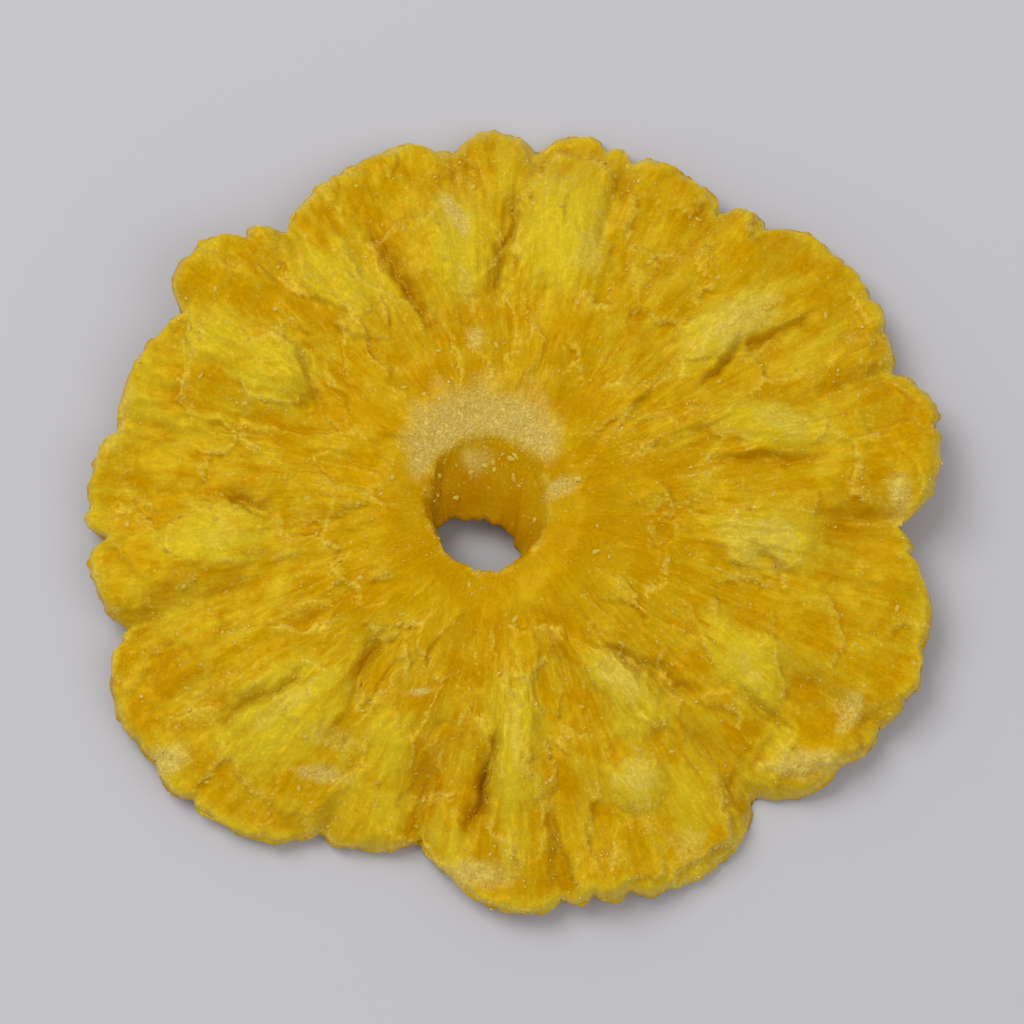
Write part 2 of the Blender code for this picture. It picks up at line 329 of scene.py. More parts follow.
def thickness(reach, inset):
    """Thickness of the flesh, thinning outwards and rounded off at the rim."""
    inner = THICK_HALFWAY + (THICK_AT_HOLE - THICK_HALFWAY) * (1.0 - rise(reach, *THINS_FIRST))
    body = inner + (THICK_AT_RIM - THICK_HALFWAY) * rise(reach, *THINS_NEXT)
    nose = np.clip(inset / RIM_ROUNDING, 0.0, 1.0)
    return body * np.sqrt(NOSE_SHARE + (1.0 - NOSE_SHARE) * (1.0 - (1.0 - nose) ** 2))


def place_along(x, y, angle, radius, lean):
    """How far each point lies along and beside a feature set at an angle and radius, with its lean."""
    at_x, at_y = radius * outwards(angle)
    return seen_from(x, y, at_x, at_y, angle + lean)


# The edges of chambers and cracks wander: over what length, how far and its seed
WANDER = [(7.0, 0.75, 31), (2.2, 0.45, 33), (0.9, 0.24, 35)]

# Torn skin stands proud on a chamber: its step, the raised edge, where that lies and how wide it is in
# sizes of the chamber, the sizes between which a crisp and a soft skin end, the patches that are crisp,
# and the bundles of strands in the skin
SKIN_STEP = 0.3
SKIN_EDGE = 0.22
SKIN_EDGE_AT = 0.92
SKIN_EDGE_WIDTH = 0.05
# How pale the raised edge is: its dried colour with a painted highlight
SKIN_EDGE_PALE = 0.8
SKIN_CRISP = (0.9, 1.0)
SKIN_SOFT = (0.3, 1.25)
CRISP_PATCH = 4.5
CRISP_ENDS = (0.0, 0.35)
BUNDLE_WIDTH = 0.85
BUNDLE_LENGTH = 6.0
BUNDLE_HEIGHT = 0.16

# How flat a chamber's crown is, and how its pale middle spreads: its share of the length and the width,
# how ragged the strands make it, where it fades, and its strength, which grows with the rise
CROWN_FLATNESS = 2.8
PALE_LENGTH, PALE_WIDTH = 1.6, 1.75
PALE_RAGGED = 0.3
PALE_FADES = (0.35, 1.2)
PALE_LEAST, PALE_WITH_RISE = 0.45, 0.5

# Cracks: the slit at the bottom, the shares of the depth that valley and slit take, how dark the painted
# shade in each is, and the raised lip beside them
SLIT_HALF_WIDTH = 0.3
VALLEY_DARK = 0.5
SLIT_DARK = 0.8
VALLEY_SHARE = 0.85
SLIT_SHARE = 0.6
LIP_HEIGHT = 0.35
LIP_AWAY = 0.9
LIP_WIDTH = 0.4

# One small round cake of sugar and flesh: place x, y, radius and height, and the radii, in its own, over
# which its edge falls
CAKE = (13.9, -27.5, 2.5, 0.2)
CAKE_EDGE = (0.88, 1.05)

# Paler streaks of flesh between the chambers: angle, radius, length, width, how pale and lean
STREAKS = [
    (118.5, 27.4, 9.0, 2.4, 0.6, 4.0),
    (127.2, 33.0, 8.0, 3.4, 0.55, 0.0),
    (147.6, 33.4, 8.0, 3.6, 0.6, 10.0),
    (158.8, 37.3, 6.0, 5.0, 0.6, 0.0),
    (151.1, 29.0, 10.0, 4.2, 0.55, 14.0),
    (165.0, 26.0, 8.0, 3.0, 0.45, -10.0),
    (173.0, 34.0, 9.0, 4.0, 0.4, 0.0),
    (13.2, 32.4, 9.0, 3.6, 0.45, -10.0),
    (9.1, 36.0, 8.0, 3.0, 0.3, -6.0),
    (24.4, 35.3, 8.0, 4.0, 0.45, 10.0),
    (38.4, 33.3, 8.0, 3.0, 0.5, -6.0),
    (52.0, 31.0, 8.0, 3.0, 0.35, 0.0),
    (344.1, 35.8, 10.0, 4.0, 0.45, 0.0),
    (332.4, 32.0, 8.0, 3.0, 0.5, -20.0),
    (316.5, 37.4, 12.0, 3.0, 0.7, -70.0),
    (307.0, 32.3, 7.0, 4.6, 0.45, 0.0),
    (272.2, 32.0, 9.0, 5.0, 0.55, 0.0),
    (262.0, 35.5, 7.0, 3.5, 0.55, 0.0),
    (218.0, 41.0, 9.0, 3.0, 0.6, 80.0),
    (203.5, 25.9, 10.0, 2.6, 0.45, 30.0),
    (199.9, 33.5, 10.0, 3.4, 0.4, 10.0),
    (244.0, 33.0, 9.0, 4.0, 0.4, 0.0),
    (196.0, 38.5, 6.0, 3.0, 0.4, 60.0),
    (88.0, 35.0, 7.0, 3.0, 0.35, 0.0),
    (62.0, 33.0, 9.0, 3.2, 0.3, 0.0),
    (166.1, 37.6, 9.0, 6.0, 0.6, 0.0),
    (250.0, 32.2, 7.0, 5.0, 0.5, 0.0),
    (352.0, 26.4, 8.5, 5.5, 1.0, 0.0),
    (303.4, 24.3, 7.0, 4.6, 1.0, -20.0),
]
STREAK_RISE = 0.3
STREAK_RAGGED = 0.5
STREAK_FADES = (0.4, 1.3)

# The smooth flesh round the hole ends in a jagged hem, a low step down to the chambers: its radius, how
# far its points reach, how many there are, how strong the finer ones are, its height, where round the
# ring it is highest and how that varies, the patches that break it, how far it tapers back, and the line
# of painted shade at its foot
HEM_RADIUS = 17.5
HEM_REACH = 4.2
HEM_POINTS = 19
HEM_FINE_SHARE = 0.4
HEM_HEIGHT = 0.4
HEM_AT = 265.0
HEM_MEAN, HEM_SWING = 0.55, 0.45
HEM_PATCH = 5.0
HEM_BROKEN = (-0.3, 0.3)
HEM_TAPER = 3.0
HEM_DARK = 0.5
HEM_DARK_WIDTH = 0.5

# Torn flaps overlap like scales: how many, how far out they lie, how long they are, how high their free
# edge stands, how far they lean from straight out, how much they bow, how sharp the step is, how far it
# reaches above and below the edge, how dark the painted shade below it is, and the pale line on it,
# narrow and broad, which is its paler dried colour with a painted highlight
FLAPS = 70
FLAP_RADIUS = (13.0, 40.0)
FLAP_LENGTH = (2.5, 8.5)
FLAP_HEIGHT = (0.15, 0.5)
FLAP_LEAN = 26.0
FLAP_BOW = 0.05
FLAP_SHARPNESS = 0.09
FLAP_REACH = 1.9
FLAP_SHADE = 0.55
FLAP_DARK = 0.35
FLAP_LIP = 0.2
FLAP_BLOOM = 1.2

# Between the flaps the flesh dried into torn facets, edge to edge: how many lie round the ring, how long
# they are and how many rows of them there are, how far their middles stray, how far their edges wander,
# how they differ in height, how far they tip, and between which radii they set in
FACETS_ROUND = 40
FACET_LENGTH = 6.0
FACET_ROWS = 16
FACET_JITTER = 0.42
FACET_WANDER = [(6.0, 1.3, 81), (1.5, 0.5, 83), (0.6, 0.22, 85)]
FACET_STEP = 0.3
FACET_TIP = 0.55
FACETS_FROM, FACETS_FULL = 6.0, 17.0

# A facet's torn edge: how wide it and its foot are, in facets, the steps in millimetres from which it
# shows pale above, with a painted highlight, and painted shade below, and how dark that shade is
FACET_EDGE = 0.08
FACET_FOOT = 0.2
PALE_STEP = (0.05, 0.5)
DARK_STEP = (0.05, 0.45)
FACET_SHADE = 0.2

# The pale line on a torn edge, its paler dried colour with a painted highlight, has a sharp part and one
# that fades, in facets, and is broken in patches
EDGE_LINE = 0.06
EDGE_FADE = 0.3
EDGE_PATCH = 3.2
EDGE_BROKEN = (-0.45, 0.25)

# Near the rim the facets stand higher: how much, and how far in. They are lower over pale chambers.
RIM_TORN = 0.9
RIM_TORN_REACH = 3.5
FACETS_ON_PALE = 0.5


def torn_facets(x, y, turned, seed):
    """Height and tone of the torn facets, and where their edges stand proud, pale with a painted highlight,
    or sink into painted shade.
    """
    x, y = x + layers(x, y, FACET_WANDER, seed), y + layers(x, y, FACET_WANDER, seed + 1)
    u = (np.degrees(np.arctan2(y, x)) + turned) % 360.0 / 360.0 * FACETS_ROUND
    v = np.hypot(x, y) / FACET_LENGTH
    table = np.random.default_rng(seed).uniform(-1.0, 1.0, (5, FACETS_ROUND, FACET_ROWS))
    away, heights, tones = [], [], []
    for step_u in (-1, 0, 1):
        for step_v in (-1, 0, 1):
            i = np.floor(u).astype(int) + step_u
            j = np.floor(v).astype(int) + step_v
            jitter_u, jitter_v, tone, tip_u, tip_v = table[:, i % FACETS_ROUND, j % FACET_ROWS]
            off_u = u - i - 0.5 - FACET_JITTER * jitter_u
            off_v = v - j - 0.5 - FACET_JITTER * jitter_v
            away.append(np.hypot(off_u, off_v))
            heights.append(FACET_STEP * tone + FACET_TIP * (tip_u * off_u + tip_v * off_v))
            tones.append(tone)
    away, heights, tones = np.stack(away), np.stack(heights), np.stack(tones)
    order = np.argsort(away, axis=0)[:2]
    gap = np.diff(np.take_along_axis(away, order, axis=0), axis=0)[0]
    here, beyond = np.take_along_axis(heights, order, axis=0)
    there = rise(np.hypot(x, y), FACETS_FROM, FACETS_FULL)
    broken = patches(x, y, EDGE_PATCH, 86, EDGE_BROKEN)
    line = 0.5 * np.exp(-gap / EDGE_LINE) + 0.5 * np.exp(-gap / EDGE_FADE)
    # Proud edges are pale with a painted highlight, and sunk feet take painted shade
    proud = broken * rise(here - beyond, *PALE_STEP) * line
    sunken = rise(beyond - here, *DARK_STEP) * (1.0 - rise(gap, 0.0, FACET_FOOT))
    height = here + (beyond - here) * 0.5 * (1.0 - rise(gap, 0.0, FACET_EDGE))
    tone = np.take_along_axis(tones, order, axis=0)[0]
    return height * there, tone * there, proud * there, sunken * there


def chamber_relief(x, y, turned):
    """Chambers swell up under torn skins, cracks cut down beside them. Also how pale, where painted shade
    lies, and where torn edges are pale with a painted highlight.
    """
    x, y = x + layers(x, y, WANDER), y + layers(x, y, WANDER, 1)
    height = np.zeros_like(x)
    pale = np.zeros_like(x)
    painted_shade = np.zeros_like(x)
    lips = np.zeros_like(x)
    cake_x, cake_y, cake_radius, cake_height = CAKE
    height += cake_height * (1.0 - rise(np.hypot(x - cake_x, y - cake_y) / cake_radius, *CAKE_EDGE))
    crisp = patches(x, y, CRISP_PATCH, 44, CRISP_ENDS)
    for angle, radius, length, width, swell, lean in CHAMBERS:
        along, beside = place_along(x, y, angle + turned, radius, lean)
        size = np.hypot(2.0 * along / length, 2.0 * beside / width)
        bundle = noise(beside / BUNDLE_WIDTH, along / BUNDLE_LENGTH + angle, 37)
        skin = crisp * (1.0 - rise(size, *SKIN_CRISP)) + (1.0 - crisp) * (1.0 - rise(size, *SKIN_SOFT))
        torn = np.exp(-((size - SKIN_EDGE_AT) / SKIN_EDGE_WIDTH) ** 2) * crisp
        # The torn skin's raised edge is pale, its dried colour with a painted highlight
        lips = np.maximum(lips, SKIN_EDGE_PALE * torn)
        height += swell * np.exp(-size ** CROWN_FLATNESS)
        height += skin * (SKIN_STEP + BUNDLE_HEIGHT * bundle) + SKIN_EDGE * torn
        spread = np.hypot(PALE_LENGTH * along / length, PALE_WIDTH * beside / width) - PALE_RAGGED * bundle
        strength = np.clip(PALE_LEAST + PALE_WITH_RISE * swell, 0.0, 1.0)
        pale = np.maximum(pale, strength * (1.0 - rise(spread, *PALE_FADES)))
    for angle, radius, length, width, amount, lean in STREAKS:
        along, beside = place_along(x, y, angle + turned, radius, lean)
        bundle = noise(beside / BUNDLE_WIDTH, along / BUNDLE_LENGTH + angle, 38)
        spread = np.hypot(2.0 * along / length, 2.0 * beside / width) - STREAK_RAGGED * bundle
        here = 1.0 - rise(spread, *STREAK_FADES)
        height += STREAK_RISE * amount * here * (1.0 + bundle)
        pale = np.maximum(pale, amount * here)
    for angle, radius, length, half_width, depth, lean in CRACKS:
        along, beside = place_along(x, y, angle + turned, radius, lean)
        window = np.exp(-(2.0 * along / length) ** 4)
        valley = np.exp(-(beside / half_width) ** 2) * window
        slit = np.exp(-(beside / SLIT_HALF_WIDTH) ** 2) * window
        lip = np.exp(-((beside - LIP_AWAY * half_width) / LIP_WIDTH) ** 2) * window
        height += LIP_HEIGHT * lip - VALLEY_SHARE * depth * valley - SLIT_SHARE * depth * slit
        # Painted shade down in the crack's valley and slit
        dark = np.maximum(VALLEY_DARK * valley, SLIT_DARK * slit)
        painted_shade = np.maximum(painted_shade, dark * np.clip(depth, 0.0, 1.0))
    round_at = np.degrees(np.arctan2(y, x)) + turned
    points = bumps_round(round_at, HEM_POINTS, 40)
    points += HEM_FINE_SHARE * bumps_round(round_at, 3 * HEM_POINTS, 43)
    inside = HEM_RADIUS + HEM_REACH * points - np.hypot(x, y)
    hem = HEM_MEAN + HEM_SWING * np.cos(np.radians(round_at - HEM_AT))
    hem = hem * patches(x, y, HEM_PATCH, 45, HEM_BROKEN)
    above = 0.5 + 0.5 * np.tanh(inside / FLAP_SHARPNESS)
    height += HEM_HEIGHT * hem * above * np.exp(-np.maximum(inside, 0.0) / HEM_TAPER)
    # The hem's edge is pale with a painted highlight, and painted shade lies at its foot
    lips = np.maximum(lips, hem * np.exp(-((inside - FLAP_LIP) / FLAP_LIP) ** 2))
    foot = (1.0 - above) * np.exp(np.minimum(inside, 0.0) / HEM_DARK_WIDTH)
    painted_shade = np.maximum(painted_shade, HEM_DARK * hem * foot)
    broken = patches(x, y, EDGE_PATCH, 87, EDGE_BROKEN)
    draw = np.random.default_rng(39)
    for _ in range(FLAPS):
        angle, radius = draw.uniform(0.0, 360.0), draw.uniform(*FLAP_RADIUS)
        length, step = draw.uniform(*FLAP_LENGTH), draw.uniform(*FLAP_HEIGHT)
        lean, side = draw.normal(0.0, FLAP_LEAN), draw.choice((-1.0, 1.0))
        bow = draw.uniform(-FLAP_BOW, FLAP_BOW)
        along, beside = place_along(x, y, angle + turned, radius, lean)
        over = side * (beside + bow * along ** 2)
        window = np.exp(-(2.0 * along / length) ** 4)
        above = 0.5 + 0.5 * np.tanh(over / FLAP_SHARPNESS)
        lifted = above * np.exp(-np.maximum(over, 0.0) / FLAP_REACH)
        shaded = (1.0 - above) * np.exp(np.minimum(over, 0.0) / FLAP_SHADE)
        height += step * window * (lifted - 0.5 * shaded)
        # The flap's free edge is pale with a painted highlight, and painted shade lies below it
        back = np.maximum(over, 0.0)
        line = 0.5 * np.exp(-back / FLAP_LIP) + 0.5 * np.exp(-back / FLAP_BLOOM)
        lips = np.maximum(lips, broken * window * above * line * np.sqrt(step / FLAP_HEIGHT[1]))
        painted_shade = np.maximum(painted_shade, FLAP_DARK * window * shaded * step / FLAP_HEIGHT[1])
    return height, pale, painted_shade, lips


def rib_relief(angle, reach):
    """Radial ribs of the fibrous flesh outside the hole, and the creases that run in from the notches."""
    turn = np.radians(angle)
    height = np.zeros_like(angle)
    for count, size, wander, slow in RIBS:
        swing = np.sin(count * turn + wander * np.sin(slow * turn))
        strength = RIB_MEAN + RIB_SWING * np.cos(slow * turn + count)
        height += size * strength * swing * rise(reach, RIBS_FROM, RIBS_FULL)
    crease = np.zeros_like(angle)
    for start, notch, _, _ in LOBES:
        away = np.radians((angle - start + 180.0) % 360.0 - 180.0) * notch
        crease += np.exp(-(away / CREASE_WIDTH) ** 2) * rise(reach, CREASES_FROM, 1.0)
    return height - CREASE_DEPTH * crease, crease


def swell_relief(x, y):
    """Broad, low swells where the sheet shrank unevenly."""
    height = np.zeros_like(x)
    for length, direction, size, phase in SWELLS:
        turn = np.radians(direction)
        height += size * np.sin(2.0 * np.pi * (x * np.cos(turn) + y * np.sin(turn)) / length + phase)
    return height


# Fibres run outwards: strands round the ring, the length of a strand, its height and seed, and how far
# and over what length they drift sideways. Wrinkles cross the outer flesh: folds round the ring, their
# length outwards, depth and seed, and how sharp their ridges are. Both are rougher in patches.
FIBRES = [(330, 5.0, 0.04, 41), (140, 9.0, 0.07, 42)]
FIBRES_FROM, FIBRES_FULL = 0.22, 0.6
DRIFT = 0.8
DRIFT_LENGTH = 6.0
WRINKLES = [(64, 4.2, 0.12, 51), (128, 2.2, 0.1, 52), (250, 1.2, 0.08, 53)]
WRINKLES_FROM, WRINKLES_FULL = 0.4, 0.8
WRINKLE_RIDGE = 0.35
ROUGH_PATCH = 8.0
ROUGH_LEAST = 0.25
ROUGH_RANGE = (-0.3, 0.5)

# Pits, lumps and grain lie all over: their spacing or size, depth or height, and seed
PIT_SPACING = 2.6
PIT_DEPTH = 0.4
PIT_EDGE = (0.55, 0.85)
PITS_FROM, PITS_FULL = 0.35, 0.6
LUMPS = [(2.6, 0.1, 63), (1.1, 0.07, 64)]
GRAIN_SIZE = 0.5
GRAIN_HEIGHT = 0.045


def fine_relief(x, y, angle, reach, seed):
    """Fibres, wrinkles, pits and grain, too fine for the plain solid. Also how folded in the flesh is."""
    radius = np.hypot(x, y)
    drift = DRIFT * bumps(x, y, DRIFT_LENGTH, seed + 1)
    rough = patches(x, y, ROUGH_PATCH, seed + 65, ROUGH_RANGE)
    rough = ROUGH_LEAST + (1.0 - ROUGH_LEAST) * rough
    height = np.zeros_like(x)
    for count, length, size, at in FIBRES:
        strand = noise(angle / 360.0 * count + drift, radius / length, seed + at, count)
        height += size * strand * rise(reach, FIBRES_FROM, FIBRES_FULL)
    folds = np.zeros_like(x)
    for count, length, size, at in WRINKLES:
        swing = noise(angle / 360.0 * count + drift, radius / length, seed + at, count)
        folds += size * (WRINKLE_RIDGE - np.abs(swing))
    folds = folds * rough
    height = height * rough + folds * rise(reach, WRINKLES_FROM, WRINKLES_FULL)
    pits = patches(x, y, PIT_SPACING, seed + 61, PIT_EDGE)
    height -= PIT_DEPTH * pits * rise(reach, PITS_FROM, PITS_FULL)
    for length, size, at in LUMPS:
        height += size * bumps(x, y, length, seed + at)
    height += GRAIN_HEIGHT * bumps(x, y, GRAIN_SIZE, seed + 62)
    return height, folds


def face_relief(x, y, angle, reach, turned, fine_seed, facet_seed):
    """One face's relief, cut part of a turn round, and how pale and folded it is, where painted shade lies,
    where torn edges are pale with a painted highlight, and its tone.
    """
    chambers, pale, painted_shade, lips = chamber_relief(x, y, turned)
    ribs, crease = rib_relief(angle + turned, reach)
    fine, folds = fine_relief(x, y, angle, reach, fine_seed)
    facets, tone, proud, sunken = torn_facets(x, y, turned, facet_seed)
    # Painted shade gathers from the cracks, the creases and the sunk feet of the facets
    painted_shade = np.maximum(np.maximum(painted_shade, CREASE_DARK * crease), FACET_SHADE * sunken)
    return chambers, ribs, fine, facets, np.stack([pale, painted_shade, folds, np.maximum(lips, proud), tone])


def faces_at(x, y):
    """Heights of the two faces over a point of the plan, and for each how pale and folded, where painted
    shade lies and where torn edges are pale with a painted highlight.
    """
    angle = np.degrees(np.arctan2(y, x)) % 360.0
    edge = rim_radius(angle)
    reach = np.minimum(np.hypot(x, y) / edge, 1.0)
    inset = np.maximum(torn_rim(angle) - np.hypot(x, y), 0.0)
    fade = rise((1.0 - reach) * edge, 0.0, RELIEF_FADE)
    middle = curl(angle, reach) + lap_step(x, y)
    half = 0.5 * thickness(reach, inset)
    swells = swell_relief(x, y) * rise(reach, SWELLS_FROM, SWELLS_FULL)
    ribs_left = RIBS_LEFT_AT_RIM + (1.0 - RIBS_LEFT_AT_RIM) * fade
    chambers, ribs, fine, facets, looks = face_relief(x, y, angle, reach, 0.0, 100, 300)
    pale = looks[0]
    rim_torn = RIM_TORN * np.exp(-(inset / RIM_TORN_REACH) ** 2)
    facets = facets * (1.0 - FACETS_ON_PALE * pale) * (1.0 + rim_torn)
    upper = half + fade * (chambers + swells) + ribs_left * (ribs + fine + facets)
    chips = bumps_round(angle, CHIPS, 46) + CHIP_FINE_SHARE * bumps(x, y, CHIP_FINE_SPACING, 47)
    upper -= CHIP_DEPTH * rise(chips, *CHIP_RANGE) * np.exp(-(inset / CHIP_REACH) ** 2)
    mouth_x, mouth_y, mouth_long, mouth_wide, _ = MOUTH
    from_mouth = np.hypot((x - mouth_x) / mouth_long, (y - mouth_y) / mouth_wide)
    upper += COLLAR_HEIGHT * np.exp(-((from_mouth - COLLAR_AT) / COLLAR_WIDTH) ** 2)
    upper -= HOLE_ROUNDING * (1.0 - rise(from_mouth, ROUNDED_FROM, ROUNDED_TO))
    chambers, ribs, fine, facets, low_looks = face_relief(x, y, angle, reach, UNDER_TURN, 200, 400)
    under = half + fade * UNDER_SHARE * (chambers + ribs - swells) + ribs_left * (fine + facets)
    return middle + upper, middle - under, looks, low_looks


def lay_down(x, y, z):
    """Tips the sheet until it lies level on its three lowest places, and presses those flat."""
    angle = np.degrees(np.arctan2(y, x))
    for _ in range(3):
        feet = []
        for middle in REST_SECTORS:
            away = np.abs((angle - middle + 180.0) % 360.0 - 180.0)
            feet.append(np.argmin(np.where(away <= 60.0, z, np.inf)))
        ground = np.linalg.solve(np.column_stack([x[feet], y[feet], np.ones(3)]), z[feet])
        z = z - ground[0] * x - ground[1] * y - ground[2]
    return np.maximum(z, REST_PRESS) - REST_PRESS


# Rows of points round the cross-section. The outer upper face, where the eye goes, has twice as many
# points round it as the rest. Shares are of the way out, and levels go from the underside to the top: first
# the rim's wall, then its upper edge, the outer and inner face, the bore and the underside.
STEPS_FINE = 800
STEPS_PLAIN = 400
FINE_FROM = 0.3
FINE_TO = 0.962
ROWS_FINE = 78
EDGE_SHARES = [0.994, 0.99, 0.985, 0.979, 0.972]
WALL_AT = 0.995
WALL_LEVELS = [0.62, 0.74, 0.86, 0.95]
ROWS_INNER = 24
UNDER_TO = 0.985
ROWS_BORE = 17
ROWS_UNDER = 30

# The rim's wall bulges out halfway down, and is torn into fibres and layers: bumps round it and down
# it, their height and seed
WALL_BULGE = 0.3
WALL_TORN = [(90, 2.0, 0.35, 92), (200, 3.5, 0.28, 93), (400, 6.0, 0.14, 94)]


def section_rows():
    """Each row's share of the way out, its level and its count of points, from the rim over the top."""
    rows = [(WALL_AT, level, STEPS_FINE) for level in [0.5] + WALL_LEVELS]
    rows += [(share, 1.0, STEPS_FINE) for share in EDGE_SHARES]
    rows += [(share, 1.0, STEPS_FINE) for share in np.linspace(FINE_TO, FINE_FROM, ROWS_FINE)]
    rows += [(FINE_FROM * s, 1.0, STEPS_PLAIN) for s in np.linspace(1.0, 0.0, ROWS_INNER + 1)[1:]]
    rows += [(0.0, level, STEPS_PLAIN) for level in np.linspace(1.0, 0.0, ROWS_BORE)[1:-1]]
    rows += [(s, 0.0, STEPS_PLAIN) for s in np.linspace(0.0, UNDER_TO, ROWS_UNDER)]
    rows += [(WALL_AT, 1.0 - level, STEPS_PLAIN) for level in reversed(WALL_LEVELS)]
    return rows


def stitch(first, second):
    """Faces between two neighbouring rows, which have as many points as each other or twice as many."""
    if len(first) == len(second):
        return [
            (a, b, c, d)
            for a, b, c, d in zip(first, np.roll(first, -1), np.roll(second, -1), second)
        ]
    faces = []
    if len(first) > len(second):
        for k, (a, b) in enumerate(zip(second, np.roll(second, -1))):
            left, middle, right = first[2 * k], first[2 * k + 1], first[(2 * k + 2) % len(first)]
            faces += [(a, left, middle), (a, middle, b), (b, middle, right)]
    else:
        for k, (a, b) in enumerate(zip(first, np.roll(first, -1))):
            left, middle, right = second[2 * k], second[2 * k + 1], second[(2 * k + 2) % len(second)]
            faces += [(a, middle, left), (a, b, middle), (b, right, middle)]
    return faces


def make_mesh(name, points, faces):
    """A mesh object of its own from points in millimetres."""
    mesh = bpy.data.meshes.new(name)
    mesh.from_pydata((MM * np.asarray(points)).tolist(), [], [tuple(int(i) for i in f) for f in faces])
    mesh.update()
    made = bpy.data.objects.new(name, mesh)
    bpy.context.scene.collection.objects.link(made)
    return made


rows = section_rows()
angle = np.concatenate([np.arange(count) * 360.0 / count for _, _, count in rows])
reach = np.concatenate([np.full(count, share) for share, _, count in rows])
level = np.concatenate([np.full(count, height) for _, height, count in rows])
hole = hole_edge(angle, level)
rim = torn_rim(angle) * outwards(angle)
wall = np.where(reach == WALL_AT, 1.0 - (2.0 * level - 1.0) ** 2, 0.0)
torn = np.zeros_like(level)
for count, layers_down, size, seed in WALL_TORN:
    torn += size * bumps_round(angle, count, seed, level * layers_down)
flesh_x, flesh_y = hole + reach * (rim - hole) + wall * (WALL_BULGE + torn) * outwards(angle)
upper, under, upper_looks, under_looks = faces_at(flesh_x, flesh_y)
flesh_z = lay_down(flesh_x, flesh_y, under + level * (upper - under))
pale, painted_shade, folds, lips, tone = under_looks + level * (upper_looks - under_looks)

# The fine skin goes where the plain solid lies
ring_low, ring_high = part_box("pineapple_ring")
middle_x = 0.5 * (flesh_x.max() + flesh_x.min()) - 0.5 * (ring_low[0] + ring_high[0]) / MM
middle_y = 0.5 * (flesh_y.max() + flesh_y.min()) - 0.5 * (ring_low[1] + ring_high[1]) / MM
flesh_points = np.stack([flesh_x - middle_x, flesh_y - middle_y, flesh_z + ring_low[2] / MM], axis=1)

starts = np.concatenate([[0], np.cumsum([count for _, _, count in rows])])
loops = [np.arange(a, b) for a, b in zip(starts, starts[1:])]
flesh_faces = []
for first, second in zip(loops, loops[1:] + loops[:1]):
    flesh_faces += stitch(first, second)
flesh = make_mesh("ring_flesh", flesh_points, flesh_faces)
flesh.data.shade_smooth()
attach(flesh, "root")
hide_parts("pineapple_ring")


# Colours of the flesh
# Candied flesh dries amber where it shrank and pale where it swelled, torn or frosted with sugar. Darker
# amber in its cracks, creases, folds, the feet of its torn steps and its bore is painted shade, and its
# torn edges are pale with a painted highlight. Most of that follows from the shape, and is kept at each
# point of the mesh for the material to read.

# Sugar frost lies in a crescent on the hole's far side: where it is widest, how wide, how far round it
# reaches, how far from the mouth's middle it starts, the length and reach of the bumps in its edge, how
# its inner edge rises, the shares of its width over which it thins, and the widths where it is thin and
# full. It lies in patches too: place x, y, half length, half width, direction and how thick.
CRESCENT_AT = 96.0
CRESCENT_WIDTH = 4.9
CRESCENT_SPREAD = 62.0
CRESCENT_FROM = 7.0
CRESCENT_BUMPS = 2.5
CRESCENT_RAGGED = 0.25
CRESCENT_RISES = (-0.8, 0.8)
CRESCENT_THINS = (0.2, 1.35)
CRESCENT_WIDTHS = (0.4, 3.0)
FROST_PATCHES = [
    (-2.3, 17.0, 1.2, 0.9, 90.0, 0.6),
    (6.4, 1.6, 1.7, 0.9, 20.0, 0.8),
    (-2.4, 4.6, 1.5, 1.3, 0.0, 0.7),
    (35.6, -20.7, 1.8, 1.0, 70.0, 0.4),
    (30.5, -26.0, 3.6, 1.3, 5.0, 0.6),
    (-2.5, -37.2, 4.0, 1.4, 0.0, 0.45),
    (-33.3, -25.6, 2.2, 1.4, 20.0, 0.6),
    (-17.8, -27.2, 2.8, 0.8, -5.0, 0.8),
    (40.6, 0.6, 1.0, 2.2, 0.0, 0.6),
    (-8.0, -19.0, 1.6, 0.4, 5.0, 0.9),
    (-4.5, 30.5, 2.8, 0.8, -60.0, 0.8),
    (23.8, 19.6, 4.6, 1.6, 32.0, 0.2),
]
PATCH_BUMPS = 1.4
PATCH_RAGGED = 0.35
PATCH_FADES = (0.2, 1.45)

# Where the surface went milky without grains, in the same terms, with a ragged edge
VEILS = [
    (13.9, -27.5, 2.6, 2.5, 80.0, 0.75),
    (35.3, -20.7, 2.3, 1.5, 70.0, 0.8),
    (18.8, -34.4, 3.0, 1.6, -15.0, 0.6),
    (-2.5, -37.2, 4.6, 1.5, 0.0, 0.7),
    (-33.3, -25.6, 2.6, 1.6, 20.0, 0.7),
    (29.4, 8.2, 4.2, 1.6, -25.0, 0.6),
    (24.2, 18.2, 4.8, 1.9, 32.0, 0.9),
    (31.0, -26.3, 3.6, 1.4, 5.0, 0.5),
    (26.2, -3.6, 4.2, 2.6, -10.0, 0.9),
    (9.3, 26.5, 3.8, 1.5, 70.0, 0.5),
    (-3.2, 22.5, 3.2, 0.8, 100.0, 0.55),
    (-27.5, -3.4, 2.8, 1.1, 10.0, 0.25),
    (-21.5, -20.5, 4.8, 0.9, 35.0, 0.6),
    (-16.8, -23.5, 3.2, 1.2, -20.0, 0.5),
    (1.8, -23.2, 4.0, 1.0, 100.0, 0.6),
    (12.8, -18.2, 3.4, 1.6, -50.0, 0.9),
    (24.9, -16.6, 2.8, 1.0, -50.0, 0.55),
    (40.0, 1.0, 1.2, 2.6, 0.0, 0.5),
    (-38.5, 9.5, 1.2, 4.5, -12.0, 0.45),
    (-4.5, 30.5, 3.0, 1.2, -60.0, 0.4),
]
